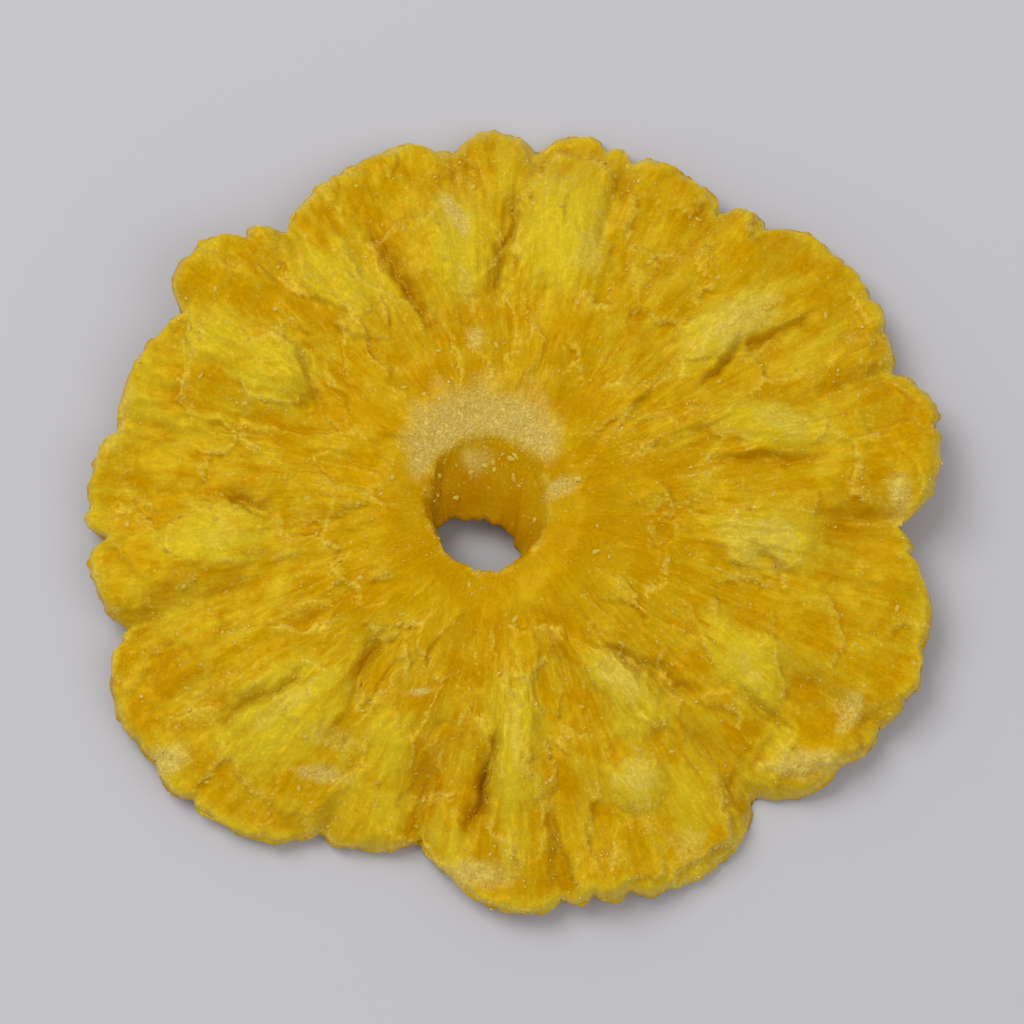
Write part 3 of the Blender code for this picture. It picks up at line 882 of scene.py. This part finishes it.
# The veils' ragged edge, with the length, reach and seed of its bumps, where a veil fades, and the most
# that it hides
VEIL_RAGGED = [(3.0, 0.35, 73), (1.3, 0.45, 74), (0.5, 0.22, 75)]
VEIL_FADES = (0.55, 1.1)
VEIL_MOST = 0.8

# A pale line runs along the rim's upper edge, its paler dried colour with a painted highlight: how pale and
# wide it is, the levels of the wall between which it starts, how many breaks it has and how long they are.
# The edge of the hole's mouth has a fainter one, also with a painted highlight: how pale, where it lies and
# how wide it is, in sizes of the mouth, and the spacing and length of its breaks.
RIM_LINE = 0.9
RIM_LINE_WIDTH = 0.45
RIM_LINE_LEVELS = (0.85, 1.0)
RIM_LINE_BREAKS = 60
RIM_LINE_BROKEN = (-0.5, 0.4)
MOUTH_LINE = 0.5
MOUTH_LINE_AT = 1.0
MOUTH_LINE_WIDTH = 0.09
MOUTH_LINE_BREAKS = 1.6
MOUTH_LINE_BROKEN = (-0.3, 0.4)

# How far in from its edge the rim looks dried and at which levels, how far from the mouth's middle painted
# shade darkens the bore, how much less of it lies higher up and at which levels, and where, from the
# middle outwards, the flesh turns fibrous
RIM_DRIED = (0.2, 1.8)
RIM_DRIED_LEVELS = (0.3, 1.0)
BORE_SHADED = (4.2, 8.2)
BORE_PALER = 0.55
BORE_PALER_LEVELS = (0.35, 1.0)
FIBROUS = (10.0, 21.0)


def patch_size(x, y, at_x, at_y, half_length, half_width, direction):
    """Distance of each point from a patch's middle, 1 at the patch's edge."""
    along, beside = seen_from(x, y, at_x, at_y, direction)
    return np.hypot(along / half_length, beside / half_width)


def frost_at(x, y):
    """How thickly sugar lies over a point of the plan."""
    away_x = x - MOUTH[0]
    away_y = y - MOUTH[1]
    round_at = (np.degrees(np.arctan2(away_y, away_x)) - CRESCENT_AT + 180.0) % 360.0 - 180.0
    width = CRESCENT_WIDTH * np.exp(-(round_at / CRESCENT_SPREAD) ** 4)
    width = width * (1.0 + CRESCENT_RAGGED * bumps(x, y, CRESCENT_BUMPS, 72))
    out = np.hypot(away_x, away_y) - CRESCENT_FROM
    thins_from, thins_to = CRESCENT_THINS
    thinned = rise(out, thins_from * width, thins_to * width + 0.01)
    frost = rise(out, *CRESCENT_RISES) * (1.0 - thinned) * rise(width, *CRESCENT_WIDTHS)
    ragged = PATCH_RAGGED * bumps(x, y, PATCH_BUMPS, 71)
    for *patch, amount in FROST_PATCHES:
        frost = np.maximum(frost, amount * (1.0 - rise(patch_size(x, y, *patch) + ragged, *PATCH_FADES)))
    return frost


def veiled_at(x, y):
    """How milky the surface is over a point of the plan."""
    ragged = layers(x, y, VEIL_RAGGED)
    veiled = np.zeros_like(x)
    for *patch, amount in VEILS:
        veiled = np.maximum(veiled, amount * (1.0 - rise(patch_size(x, y, *patch) + ragged, *VEIL_FADES)))
    return np.minimum(veiled, VEIL_MOST)


flesh_edge = torn_rim(np.degrees(np.arctan2(flesh_y, flesh_x)) % 360.0)
inset = flesh_edge - np.hypot(flesh_x, flesh_y)
# A pale line along the rim's edge and the mouth's, partly a painted highlight
rim_line = RIM_LINE * np.exp(-(np.maximum(inset, 0.0) / RIM_LINE_WIDTH) ** 2)
rim_broken = rise(bumps_round(angle, RIM_LINE_BREAKS, 95), *RIM_LINE_BROKEN)
lips = np.maximum(lips, rim_line * rim_broken * rise(level, *RIM_LINE_LEVELS))
from_mouth = np.hypot((flesh_x - MOUTH[0]) / MOUTH[2], (flesh_y - MOUTH[1]) / MOUTH[3])
mouth_line = MOUTH_LINE * np.exp(-((from_mouth - MOUTH_LINE_AT) / MOUTH_LINE_WIDTH) ** 2) * level
mouth_broken = patches(flesh_x, flesh_y, MOUTH_LINE_BREAKS, 76, MOUTH_LINE_BROKEN)
lips = np.maximum(lips, mouth_line * mouth_broken)
rim_nearness = (1.0 - rise(inset, *RIM_DRIED)) * rise(level, *RIM_DRIED_LEVELS)
frost = frost_at(flesh_x, flesh_y) * level
veiled = veiled_at(flesh_x, flesh_y) * level
# Painted shade down the bore, less of it higher up
bore = 1.0 - rise(np.hypot(flesh_x - MOUTH[0], flesh_y - MOUTH[1]), *BORE_SHADED)
bore = bore * (1.0 - BORE_PALER * rise(level, *BORE_PALER_LEVELS))
fibrous = rise(np.hypot(flesh_x, flesh_y), *FIBROUS)
# The looks go to the mesh for the material: the one for cracks and steps holds painted shade, and the one for
# torn edges is partly a painted highlight
LOOKS = {
    "pale": pale, "painted_shade": painted_shade, "folds": folds, "lips": lips, "tone": tone,
    "frost": frost, "veiled": veiled,
    "rim": rim_nearness, "fibrous": fibrous, "bore": bore,
}
for look, values in LOOKS.items():
    flesh.data.attributes.new(look, "FLOAT", "POINT").data.foreach_set("value", values.astype(np.float32))


def colour(hex_code):
    """Linear colour of an sRGB hex value."""
    channels = [int(hex_code[i:i + 2], 16) / 255.0 for i in (1, 3, 5)]
    return (*[c / 12.92 if c <= 0.04045 else ((c + 0.055) / 1.055) ** 2.4 for c in channels], 1.0)


def set_inputs(tree, node, inputs):
    """Joins or sets a node's inputs, given by name or number, or as a list from the first on."""
    for socket, value in inputs.items() if isinstance(inputs, dict) else enumerate(inputs):
        if isinstance(value, bpy.types.NodeSocket):
            tree.links.new(value, node.inputs[socket])
        else:
            node.inputs[socket].default_value = value


def add_node(tree, kind, settings, inputs):
    """Adds one node with its settings and links."""
    made = tree.nodes.new("ShaderNode" + kind)
    for name, value in settings.items():
        setattr(made, name, value)
    set_inputs(tree, made, inputs)
    return made


def new_material(name):
    """A material with its tree of nodes, its shader, and places in the object for patterns to lie by."""
    material = bpy.data.materials.new(name)
    material.use_nodes = True
    tree = material.node_tree
    place = add_node(tree, "TexCoord", {}, {}).outputs["Object"]
    return material, tree, tree.nodes["Principled BSDF"], place


# The flesh's two ambers and a darker one for painted shade, the pale yellow of its chambers, the haze and
# milky veils on it, its torn edges, pale with a painted highlight, and its frost of sugar
AMBER = "#c38f00"
HONEY = "#ce9e00"
PAINTED_SHADE_AMBER = "#a86f00"
CHAMBER_YELLOW = "#dab91c"
HAZE = "#d6bc26"
MILKY = "#dbc254"
PALE_EDGE_AND_HIGHLIGHT = "#e2c440"
SUGAR_WHITE = "#f0da76"
SHEEN = "#ffd030"

# Patterns in the flesh: how far apart strands lie, at which distance from the middle, and how long they
# are, and the sizes of clouds, veils, flecks and grit
STRAND_SPACING = 0.8
STRANDS_AT = 25.0
STRAND_LENGTH = 8.0
CLOUD_SIZE = 6.0
VEIL_SIZE = 3.0
FLECK_SPACING = 0.6
GRIT_SIZE = 0.35

# A Mix node with this setting mixes colours: input 0 is the share, 6 and 7 are the two, and output 2 is
# the mix. A MapRange node's list is a value, its range and the new range.
RGBA = {"data_type": "RGBA"}


def candied_flesh():
    """Candied pineapple, dried: translucent, so light sinks in and warms, with a rough, sugary gloss."""
    material, tree, shader, place = new_material("candied_pineapple")
    look = {name: add_node(tree, "Attribute", {"attribute_name": name}, {}).outputs["Fac"] for name in LOOKS}

    # Strands run outwards from the hole
    flat = add_node(tree, "VectorMath", {"operation": "MULTIPLY"}, {0: place, 1: (1.0, 1.0, 0.0)}).outputs[0]
    out = add_node(tree, "VectorMath", {"operation": "LENGTH"}, {0: flat}).outputs["Value"]
    heading = add_node(tree, "VectorMath", {"operation": "NORMALIZE"}, {0: flat}).outputs[0]
    strands = STRANDS_AT / STRAND_SPACING
    spun = add_node(tree, "VectorMath", {"operation": "SCALE"}, {0: heading, "Scale": strands}).outputs[0]
    lengths = add_node(tree, "Math", {"operation": "DIVIDE"}, [out, STRAND_LENGTH * MM]).outputs[0]
    upward = add_node(tree, "CombineXYZ", {}, {"Z": lengths}).outputs[0]
    polar = add_node(tree, "VectorMath", {"operation": "ADD"}, {0: spun, 1: upward}).outputs[0]
    fibre = add_node(
        tree, "TexNoise", {}, {"Vector": polar, "Scale": 1.0, "Detail": 2.0, "Roughness": 0.6}
    ).outputs["Fac"]
    patterns = []
    for size, detail, roughness in ((CLOUD_SIZE, 1.0, 0.55), (GRIT_SIZE, 1.0, 0.7), (VEIL_SIZE, 2.0, 0.65)):
        made = add_node(tree, "TexNoise", {}, {
            "Vector": place, "Scale": 1.0 / (size * MM), "Detail": detail, "Roughness": roughness,
        })
        patterns.append(made.outputs["Fac"])
    cloud, grit, veil = patterns
    flecks = add_node(tree, "TexVoronoi", {}, {"Vector": place, "Scale": 1.0 / (FLECK_SPACING * MM)})
    speck = flecks.outputs["Distance"]

    # Amber, lighter in clouds, along strands and from facet to facet
    lighter = add_node(tree, "Math", {"operation": "ADD"}, [fibre, cloud]).outputs[0]
    lighter = add_node(tree, "Math", {"operation": "MULTIPLY_ADD"}, [look["tone"], 0.14, lighter]).outputs[0]
    lighter = add_node(tree, "MapRange", {}, [lighter, 0.65, 1.35, 0.0, 1.0]).outputs[0]
    base = add_node(tree, "Mix", RGBA, {0: lighter, 6: colour(AMBER), 7: colour(HONEY)}).outputs[2]
    fibre = add_node(tree, "Mix", {}, {0: look["fibrous"], 2: cloud, 3: fibre}).outputs[0]

    # Painted shade: darker amber in cracks, creases, fold troughs, step feet and the bore, less on torn edges
    hollow = add_node(tree, "MapRange", {}, [look["folds"], 0.05, -0.35, 0.0, 0.5]).outputs[0]
    hollow = add_node(tree, "Math", {"operation": "MAXIMUM"}, [hollow, look["painted_shade"]]).outputs[0]
    hollow = add_node(tree, "Math", {"operation": "MAXIMUM"}, [hollow, look["bore"]]).outputs[0]
    bare = add_node(tree, "Math", {"operation": "MULTIPLY_ADD"}, [look["lips"], -0.7, 0.7]).outputs[0]
    hollow = add_node(tree, "Math", {"operation": "MULTIPLY"}, [hollow, bare]).outputs[0]
    base = add_node(tree, "Mix", RGBA, {0: hollow, 6: base, 7: colour(PAINTED_SHADE_AMBER)}).outputs[2]

    # Pale yellow over the seed chambers, streaked by the strands, and along the thin rim
    streak = add_node(tree, "MapRange", {}, [fibre, 0.3, 0.62, 0.55, 1.15]).outputs[0]
    light = add_node(tree, "Math", {"operation": "MULTIPLY"}, [look["rim"], 0.35]).outputs[0]
    light = add_node(tree, "Math", {"operation": "MAXIMUM"}, [look["pale"], light]).outputs[0]
    light = add_node(tree, "Math", {"operation": "MULTIPLY", "use_clamp": True}, [light, streak]).outputs[0]
    base = add_node(tree, "Mix", RGBA, {0: light, 6: base, 7: colour(CHAMBER_YELLOW)}).outputs[2]

    # A haze where the surface dried out: in clouds, thicker over the chambers and towards the rim
    veil = add_node(tree, "Mix", {}, {0: 0.4, 2: veil, 3: fibre}).outputs[0]
    dry = add_node(tree, "Math", {"operation": "MAXIMUM"}, [look["rim"], look["pale"]]).outputs[0]
    dry = add_node(tree, "Math", {"operation": "MULTIPLY_ADD"}, [dry, 0.16, veil]).outputs[0]
    haze = add_node(tree, "MapRange", {}, [dry, 0.43, 0.7, 0.0, 0.7]).outputs[0]
    outer = add_node(tree, "Math", {"operation": "MULTIPLY_ADD"}, [look["fibrous"], 0.6, 0.4]).outputs[0]
    haze = add_node(tree, "Math", {"operation": "MULTIPLY"}, [haze, outer]).outputs[0]
    base = add_node(tree, "Mix", RGBA, {0: haze, 6: base, 7: colour(HAZE)}).outputs[2]

    # Milky veils, gritty as sugar that came out of the syrup
    milky = add_node(tree, "Math", {"operation": "ADD"}, [veil, grit]).outputs[0]
    milky = add_node(tree, "MapRange", {}, [milky, 0.7, 1.2, 0.15, 1.0]).outputs[0]
    milky = add_node(tree, "Math", {"operation": "MULTIPLY"}, [milky, look["veiled"]]).outputs[0]
    base = add_node(tree, "Mix", RGBA, {0: milky, 6: base, 7: colour(MILKY)}).outputs[2]

    # Torn edges are pale: dried, and with a painted highlight. Sugar lies thick where it has frosted, and in
    # faint scattered flecks.
    near = add_node(tree, "MapRange", {}, [speck, 0.3, 0.1, 0.0, 1.0]).outputs[0]
    some = add_node(tree, "SeparateColor", {}, {"Color": flecks.outputs["Color"]}).outputs[0]
    some = add_node(tree, "Math", {"operation": "MULTIPLY_ADD"}, [veil, 1.6, some]).outputs[0]
    some = add_node(tree, "MapRange", {}, [some, 1.35, 1.8, 0.0, 0.35]).outputs[0]
    bloom = add_node(tree, "Math", {"operation": "MULTIPLY"}, [near, some]).outputs[0]
    edge = add_node(tree, "Math", {"operation": "MULTIPLY_ADD"}, [grit, 2.0, -0.25]).outputs[0]
    edge = add_node(tree, "Math", {"operation": "MULTIPLY"}, [look["lips"], edge]).outputs[0]
    edge = add_node(tree, "MapRange", {}, [edge, 0.05, 0.55, 0.0, 0.78]).outputs[0]
    base = add_node(tree, "Mix", RGBA, {0: edge, 6: base, 7: colour(PALE_EDGE_AND_HIGHLIGHT)}).outputs[2]
    thick = add_node(tree, "MapRange", {}, [grit, 0.35, 0.62, 0.4, 0.95]).outputs[0]
    thick = add_node(
        tree, "Math", {"operation": "MULTIPLY", "use_clamp": True}, [look["frost"], thick]
    ).outputs[0]
    sugar = add_node(tree, "Math", {"operation": "MAXIMUM"}, [bloom, thick]).outputs[0]
    base = add_node(tree, "Mix", RGBA, {0: sugar, 6: base, 7: colour(SUGAR_WHITE)}).outputs[2]

    # Fine crystals under the surface show as short bright streaks and specks on darker flesh
    close = add_node(tree, "VectorMath", {"operation": "MULTIPLY"}, {0: polar, 1: (2.6, 2.6, 6.5)}).outputs[0]
    fine = add_node(tree, "TexNoise", {}, {"Vector": close, "Scale": 1.0, "Detail": 1.0}).outputs["Fac"]
    fine = add_node(tree, "Math", {"operation": "MAXIMUM"}, [fine, grit]).outputs[0]
    shade = add_node(tree, "MapRange", {}, [fine, 0.52, 0.74, 0.94, 1.13]).outputs[0]
    base = add_node(tree, "VectorMath", {"operation": "SCALE"}, {0: base, "Scale": shade}).outputs[0]

    # Moist between the grit and dull on it, with strands and pits too fine for the mesh
    gloss = add_node(tree, "MapRange", {}, [grit, 0.3, 0.7, 0.24, 0.42]).outputs[0]
    relief = add_node(tree, "Math", {"operation": "MULTIPLY_ADD"}, [fibre, 0.5, grit]).outputs[0]
    relief = add_node(tree, "Math", {"operation": "MULTIPLY_ADD"}, [speck, -0.5, relief]).outputs[0]
    bump = add_node(tree, "Bump", {}, {"Strength": 0.3, "Distance": 0.1 * MM, "Height": relief}).outputs[0]
    shader.subsurface_method = "BURLEY"
    set_inputs(tree, shader, {
        "Base Color": base,
        "Roughness": gloss,
        "Normal": bump,
        "IOR": 1.45,
        "Specular IOR Level": 0.36,
        "Specular Tint": colour(SHEEN),
        "Subsurface Weight": 0.35,
        "Subsurface Radius": (1.0, 0.75, 0.15),
        "Subsurface Scale": 0.7 * MM,
    })
    return material


flesh.data.materials.append(candied_flesh())


# Sugar grains
# Sucrose crystals left by the syrup, and more rolled on after drying, stuck fast by the moist flesh.
# Each is a stubby, flattened prism with six sides, clear with sharp facets, so it glints.
CRYSTAL_SIDES = 6
CRYSTAL_FLATNESS = 0.75
GRAIN_LENGTH = (0.1, 0.32)
FROST_LENGTH = (0.08, 0.24)
GRAIN_SHORTEST = 0.6
GRAIN_STOUTNESS = (0.5, 0.9)
GRAIN_SUNK = 0.25
GRAINS_ALL_OVER = 2200
GRAINS_IN_FROST = 5000

# Where grains lie: the length of their clusters, how strong smaller ones are and how sharply they end,
# how many grains lie between and in the clusters and on torn edges, how few on the underside, and how
# they keep to the thick of the frost. Nothing lies on the flesh's feet.
CLUSTER_LENGTH = 3.0
CLUSTER_FINE_SHARE = 0.4
CLUSTER_ENDS = (-0.1, 0.7)
GRAINS_BETWEEN = 0.02
GRAINS_CLUSTERED = 0.8
GRAINS_ON_EDGES = 3.0
GRAINS_UNDERNEATH = 0.35
FROST_GATHERS = 1.5
CLEAR_OF_FLOOR = 0.05

flesh.data.calc_loop_triangles()
triangles = np.empty(3 * len(flesh.data.loop_triangles), dtype=np.int32)
flesh.data.loop_triangles.foreach_get("vertices", triangles)
triangles = triangles.reshape(-1, 3)
corner = flesh_points[triangles]
face_normal = np.cross(corner[:, 1] - corner[:, 0], corner[:, 2] - corner[:, 0])
face_area = 0.5 * np.linalg.norm(face_normal, axis=1)
face_normal /= np.maximum(2.0 * face_area[:, None], 1e-9)


def strewn(draw, count, wanted):
    """Places drawn on the flesh, more where they are wanted, and which way it faces there."""
    weight = face_area * wanted[triangles].mean(axis=1)
    chosen = draw.choice(len(triangles), count, p=weight / weight.sum())
    share = draw.dirichlet((1.0, 1.0, 1.0), count)
    return np.einsum("nk,nkc->nc", share, corner[chosen]), face_normal[chosen]


def grains(name, count, sizes, wanted, seed):
    """Sugar crystals strewn over the flesh, each turned its own way."""
    draw = np.random.default_rng(seed)
    seat, out = strewn(draw, count, wanted)
    length = draw.uniform(*sizes, count) * draw.uniform(GRAIN_SHORTEST, 1.0, count)
    width = length * draw.uniform(*GRAIN_STOUTNESS, count)
    axis = draw.normal(size=(count, 3))
    axis /= np.linalg.norm(axis, axis=1)[:, None]
    side = np.cross(axis, draw.normal(size=(count, 3)))
    side /= np.linalg.norm(side, axis=1)[:, None]
    third = np.cross(axis, side)
    centre = seat + out * (0.5 * width * (1.0 - 2.0 * GRAIN_SUNK))[:, None]
    turns = np.arange(CRYSTAL_SIDES) * 2.0 * math.pi / CRYSTAL_SIDES
    rings = []
    for end in (-0.5, 0.5):
        for turn in turns:
            flat = 1.0 if abs(math.sin(turn)) < 0.1 else CRYSTAL_FLATNESS
            across = 0.5 * width[:, None] * flat * (math.cos(turn) * side + math.sin(turn) * third)
            rings.append(centre + end * length[:, None] * axis + across)
    points = np.stack(rings, axis=1).reshape(-1, 3)
    points[:, 2] = np.maximum(points[:, 2], 0.0)
    around = [(k, (k + 1) % CRYSTAL_SIDES) for k in range(CRYSTAL_SIDES)]
    pattern = [(a, b, b + CRYSTAL_SIDES, a + CRYSTAL_SIDES) for a, b in around]
    pattern += [tuple(reversed(range(CRYSTAL_SIDES))), tuple(range(CRYSTAL_SIDES, 2 * CRYSTAL_SIDES))]
    faces = [tuple(2 * CRYSTAL_SIDES * k + i for i in face) for k in range(count) for face in pattern]
    made = make_mesh(name, points, faces)
    made.data.materials.append(sugar)
    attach(made, "root")
    return made


def sugar_crystal():
    """Crystal sugar: clear to milky, with the sparkle of clean broken facets."""
    material, tree, shader, place = new_material("crystal_sugar")
    milk = add_node(
        tree, "TexNoise", {}, {"Vector": place, "Scale": 1.0 / (0.5 * MM), "Detail": 1.0}
    ).outputs["Fac"]
    tint = add_node(tree, "Mix", RGBA, {0: milk, 6: colour("#dcb93c"), 7: colour("#f0dc80")}).outputs[2]
    set_inputs(tree, shader, {"Base Color": tint, "Roughness": 0.14, "IOR": 1.54})
    return material


sugar = sugar_crystal()
upward = (level > 0.5).astype(float)
lying = np.where(flesh_z > CLEAR_OF_FLOOR, 1.0, 0.0)
clusters = bumps(flesh_x, flesh_y, CLUSTER_LENGTH, 83)
clusters = rise(clusters + CLUSTER_FINE_SHARE * bumps(flesh_x, flesh_y, 1.0, 84), *CLUSTER_ENDS)
all_over = GRAINS_BETWEEN + GRAINS_CLUSTERED * clusters ** 4 + GRAINS_ON_EDGES * lips ** 2 + painted_shade
all_over *= lying * (GRAINS_UNDERNEATH + (1.0 - GRAINS_UNDERNEATH) * upward)
grains("sugar_grains", GRAINS_ALL_OVER, GRAIN_LENGTH, all_over, 81)
grains("sugar_frost", GRAINS_IN_FROST, FROST_LENGTH, lying * frost ** FROST_GATHERS, 82)


# Crumbs
# Torn bits of the flesh, dried through and pale, cling along the flaps, in the cracks and inside the
# punched hole. Each is a small ball of twelve corners, pulled out of shape and flattened on the flesh.
CRUMBS = 1500
CRUMB_SIZE = (0.12, 0.62)
CRUMB_FLATNESS = 0.45
CRUMB_PROUD = 0.15
CRUMB_UNEVEN = (0.55, 1.25)
BALL_CORNERS = 12
BALL_EDGE = 1.1

# How many crumbs lie between the clusters, on torn edges, in cracks, down the bore and in the frost, and
# how few on the underside. They gather on the funnel's far wall: place x, y, half length, half width and
# how many there.
CRUMBS_BETWEEN = 0.06
CRUMBS_ON_EDGES = 2.0
CRUMBS_IN_CRACKS = 1.2
CRUMBS_IN_BORE = 0.9
CRUMBS_IN_FROST = 1.6
CRUMBS_UNDERNEATH = 0.15
CRUMB_WALL = (-1.0, 5.0, 2.4, 1.2, 9.0)


def dried_fibre():
    """Dried fibre: thin, so pale and opaque, with a sugary dull surface."""
    material, tree, shader, place = new_material("dried_fibre")
    patch = add_node(
        tree, "TexNoise", {}, {"Vector": place, "Scale": 1.0 / (0.7 * MM), "Detail": 2.0}
    ).outputs["Fac"]
    tint = add_node(tree, "Mix", RGBA, {0: patch, 6: colour("#cb9f0c"), 7: colour("#e2c64a")}).outputs[2]
    bump = add_node(tree, "Bump", {}, {"Strength": 0.6, "Distance": 0.05 * MM, "Height": patch}).outputs[0]
    set_inputs(tree, shader, {
        "Base Color": tint, "Roughness": 0.45, "Normal": bump, "Specular IOR Level": 0.3,
    })
    return material


draw = np.random.default_rng(91)
wanted = CRUMBS_BETWEEN + clusters ** 2 + CRUMBS_ON_EDGES * lips + CRUMBS_IN_CRACKS * painted_shade
wanted += CRUMBS_IN_BORE * bore * upward + CRUMBS_IN_FROST * frost
wanted *= lying * (CRUMBS_UNDERNEATH + (1.0 - CRUMBS_UNDERNEATH) * upward)
wall_x, wall_y, wall_long, wall_wide, wall_share = CRUMB_WALL
off_wall = np.hypot((flesh_x - wall_x) / wall_long, (flesh_y - wall_y) / wall_wide)
wanted += wall_share * lying * np.exp(-off_wall ** 2)
seat, out = strewn(draw, CRUMBS, wanted)
golden = 0.5 * (1.0 + math.sqrt(5.0))
ball = np.array(
    [(0, s, t * golden) for s in (-1, 1) for t in (-1, 1)]
    + [(s, t * golden, 0) for s in (-1, 1) for t in (-1, 1)]
    + [(t * golden, 0, s) for s in (-1, 1) for t in (-1, 1)], dtype=float
)
ball /= np.linalg.norm(ball[0])
apart = np.linalg.norm(ball[:, None] - ball[None], axis=2)
shell = []
for a in range(BALL_CORNERS):
    for b in range(a + 1, BALL_CORNERS):
        for c in range(b + 1, BALL_CORNERS):
            if max(apart[a, b], apart[b, c], apart[a, c]) < BALL_EDGE:
                facing = np.dot(np.cross(ball[b] - ball[a], ball[c] - ball[a]), ball[a])
                shell.append((a, b, c) if facing > 0 else (c, b, a))
half = 0.5 * (CRUMB_SIZE[0] + (CRUMB_SIZE[1] - CRUMB_SIZE[0]) * draw.uniform(0.0, 1.0, CRUMBS) ** 3)
axis = draw.normal(size=(CRUMBS, 3))
axis -= np.einsum("nc,nc->n", axis, out)[:, None] * out
axis /= np.linalg.norm(axis, axis=1)[:, None]
bulk = ball[None] * draw.uniform(*CRUMB_UNEVEN, (CRUMBS, BALL_CORNERS, 1))
along = np.einsum("nkc,nc->nk", bulk, axis)[..., None]
bulk = bulk + along * axis[:, None] * draw.uniform(0.0, 1.0, (CRUMBS, 1, 1))
above = np.einsum("nkc,nc->nk", bulk, out)[..., None]
bulk = bulk - (1.0 - CRUMB_FLATNESS) * above * out[:, None]
crumb_points = seat[:, None] + half[:, None, None] * (bulk + CRUMB_PROUD * out[:, None])
crumb_points[..., 2] = np.maximum(crumb_points[..., 2], 0.0)
crumb_faces = [tuple(BALL_CORNERS * k + i for i in face) for k in range(CRUMBS) for face in shell]
crumbs = make_mesh("dried_crumbs", crumb_points.reshape(-1, 3), crumb_faces)
crumbs.data.materials.append(dried_fibre())
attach(crumbs, "root")


# Floor
# A plain pale tabletop with a faint cool cast, matt, so that it takes a soft shadow. It is 6 m wide.
bpy.ops.mesh.primitive_plane_add(size=6.0, location=(0.0, 0.0, 0.0))
floor = bpy.context.object
floor.name = "floor"
tabletop, tree, shader, _ = new_material("matt_tabletop")
set_inputs(tree, shader, {"Base Color": colour("#c7c7cd"), "Roughness": 0.8})
floor.data.materials.append(tabletop)


# Light
# A broad soft box high on the left, a weaker one on the right, and pale daylight all round.
def soft_box(name, place, size, watts):
    """A square lamp that faces the ring."""
    lamp = bpy.data.lights.new(name, "AREA")
    lamp.shape = "SQUARE"
    lamp.size = size
    lamp.energy = watts
    holder = bpy.data.objects.new(name, lamp)
    holder.location = place
    holder.rotation_euler = (-Vector(place)).to_track_quat("-Z", "Y").to_euler()
    bpy.context.scene.collection.objects.link(holder)


soft_box("soft_box_left", place=(-0.35, 0.3, 0.75), size=0.5, watts=3.75)
soft_box("soft_box_right", place=(0.5, -0.25, 0.7), size=0.6, watts=1.1)
world = bpy.data.worlds.new("daylight")
world.use_nodes = True
daylight = {"Color": colour("#eae8e8"), "Strength": 0.57}
set_inputs(world.node_tree, world.node_tree.nodes["Background"], daylight)
bpy.context.scene.world = world
bpy.context.scene.view_settings.view_transform = "Standard"


# Camera
# It looks down from just in front of straight above, as the photo does, and the ring fills the frame.
# Its distance, the width that the frame takes in and the height it looks at are in metres.
LOOK_DOWN = 80.0
CAMERA_AWAY = 0.42
FRAME_WIDTH = 0.104
LOOKED_AT = 0.004
SENSOR_WIDTH = 36.0
eye = bpy.data.cameras.new("camera")
eye.sensor_width = SENSOR_WIDTH
eye.lens = SENSOR_WIDTH * CAMERA_AWAY / FRAME_WIDTH
camera = bpy.data.objects.new("camera", eye)
target = Vector((0.0, 0.0, LOOKED_AT))
back = Vector((0.0, -math.cos(math.radians(LOOK_DOWN)), math.sin(math.radians(LOOK_DOWN))))
camera.location = target + CAMERA_AWAY * back
camera.rotation_euler = (-back).to_track_quat("-Z", "Y").to_euler()
eye.clip_start = 0.01
bpy.context.scene.collection.objects.link(camera)
bpy.context.scene.camera = camera
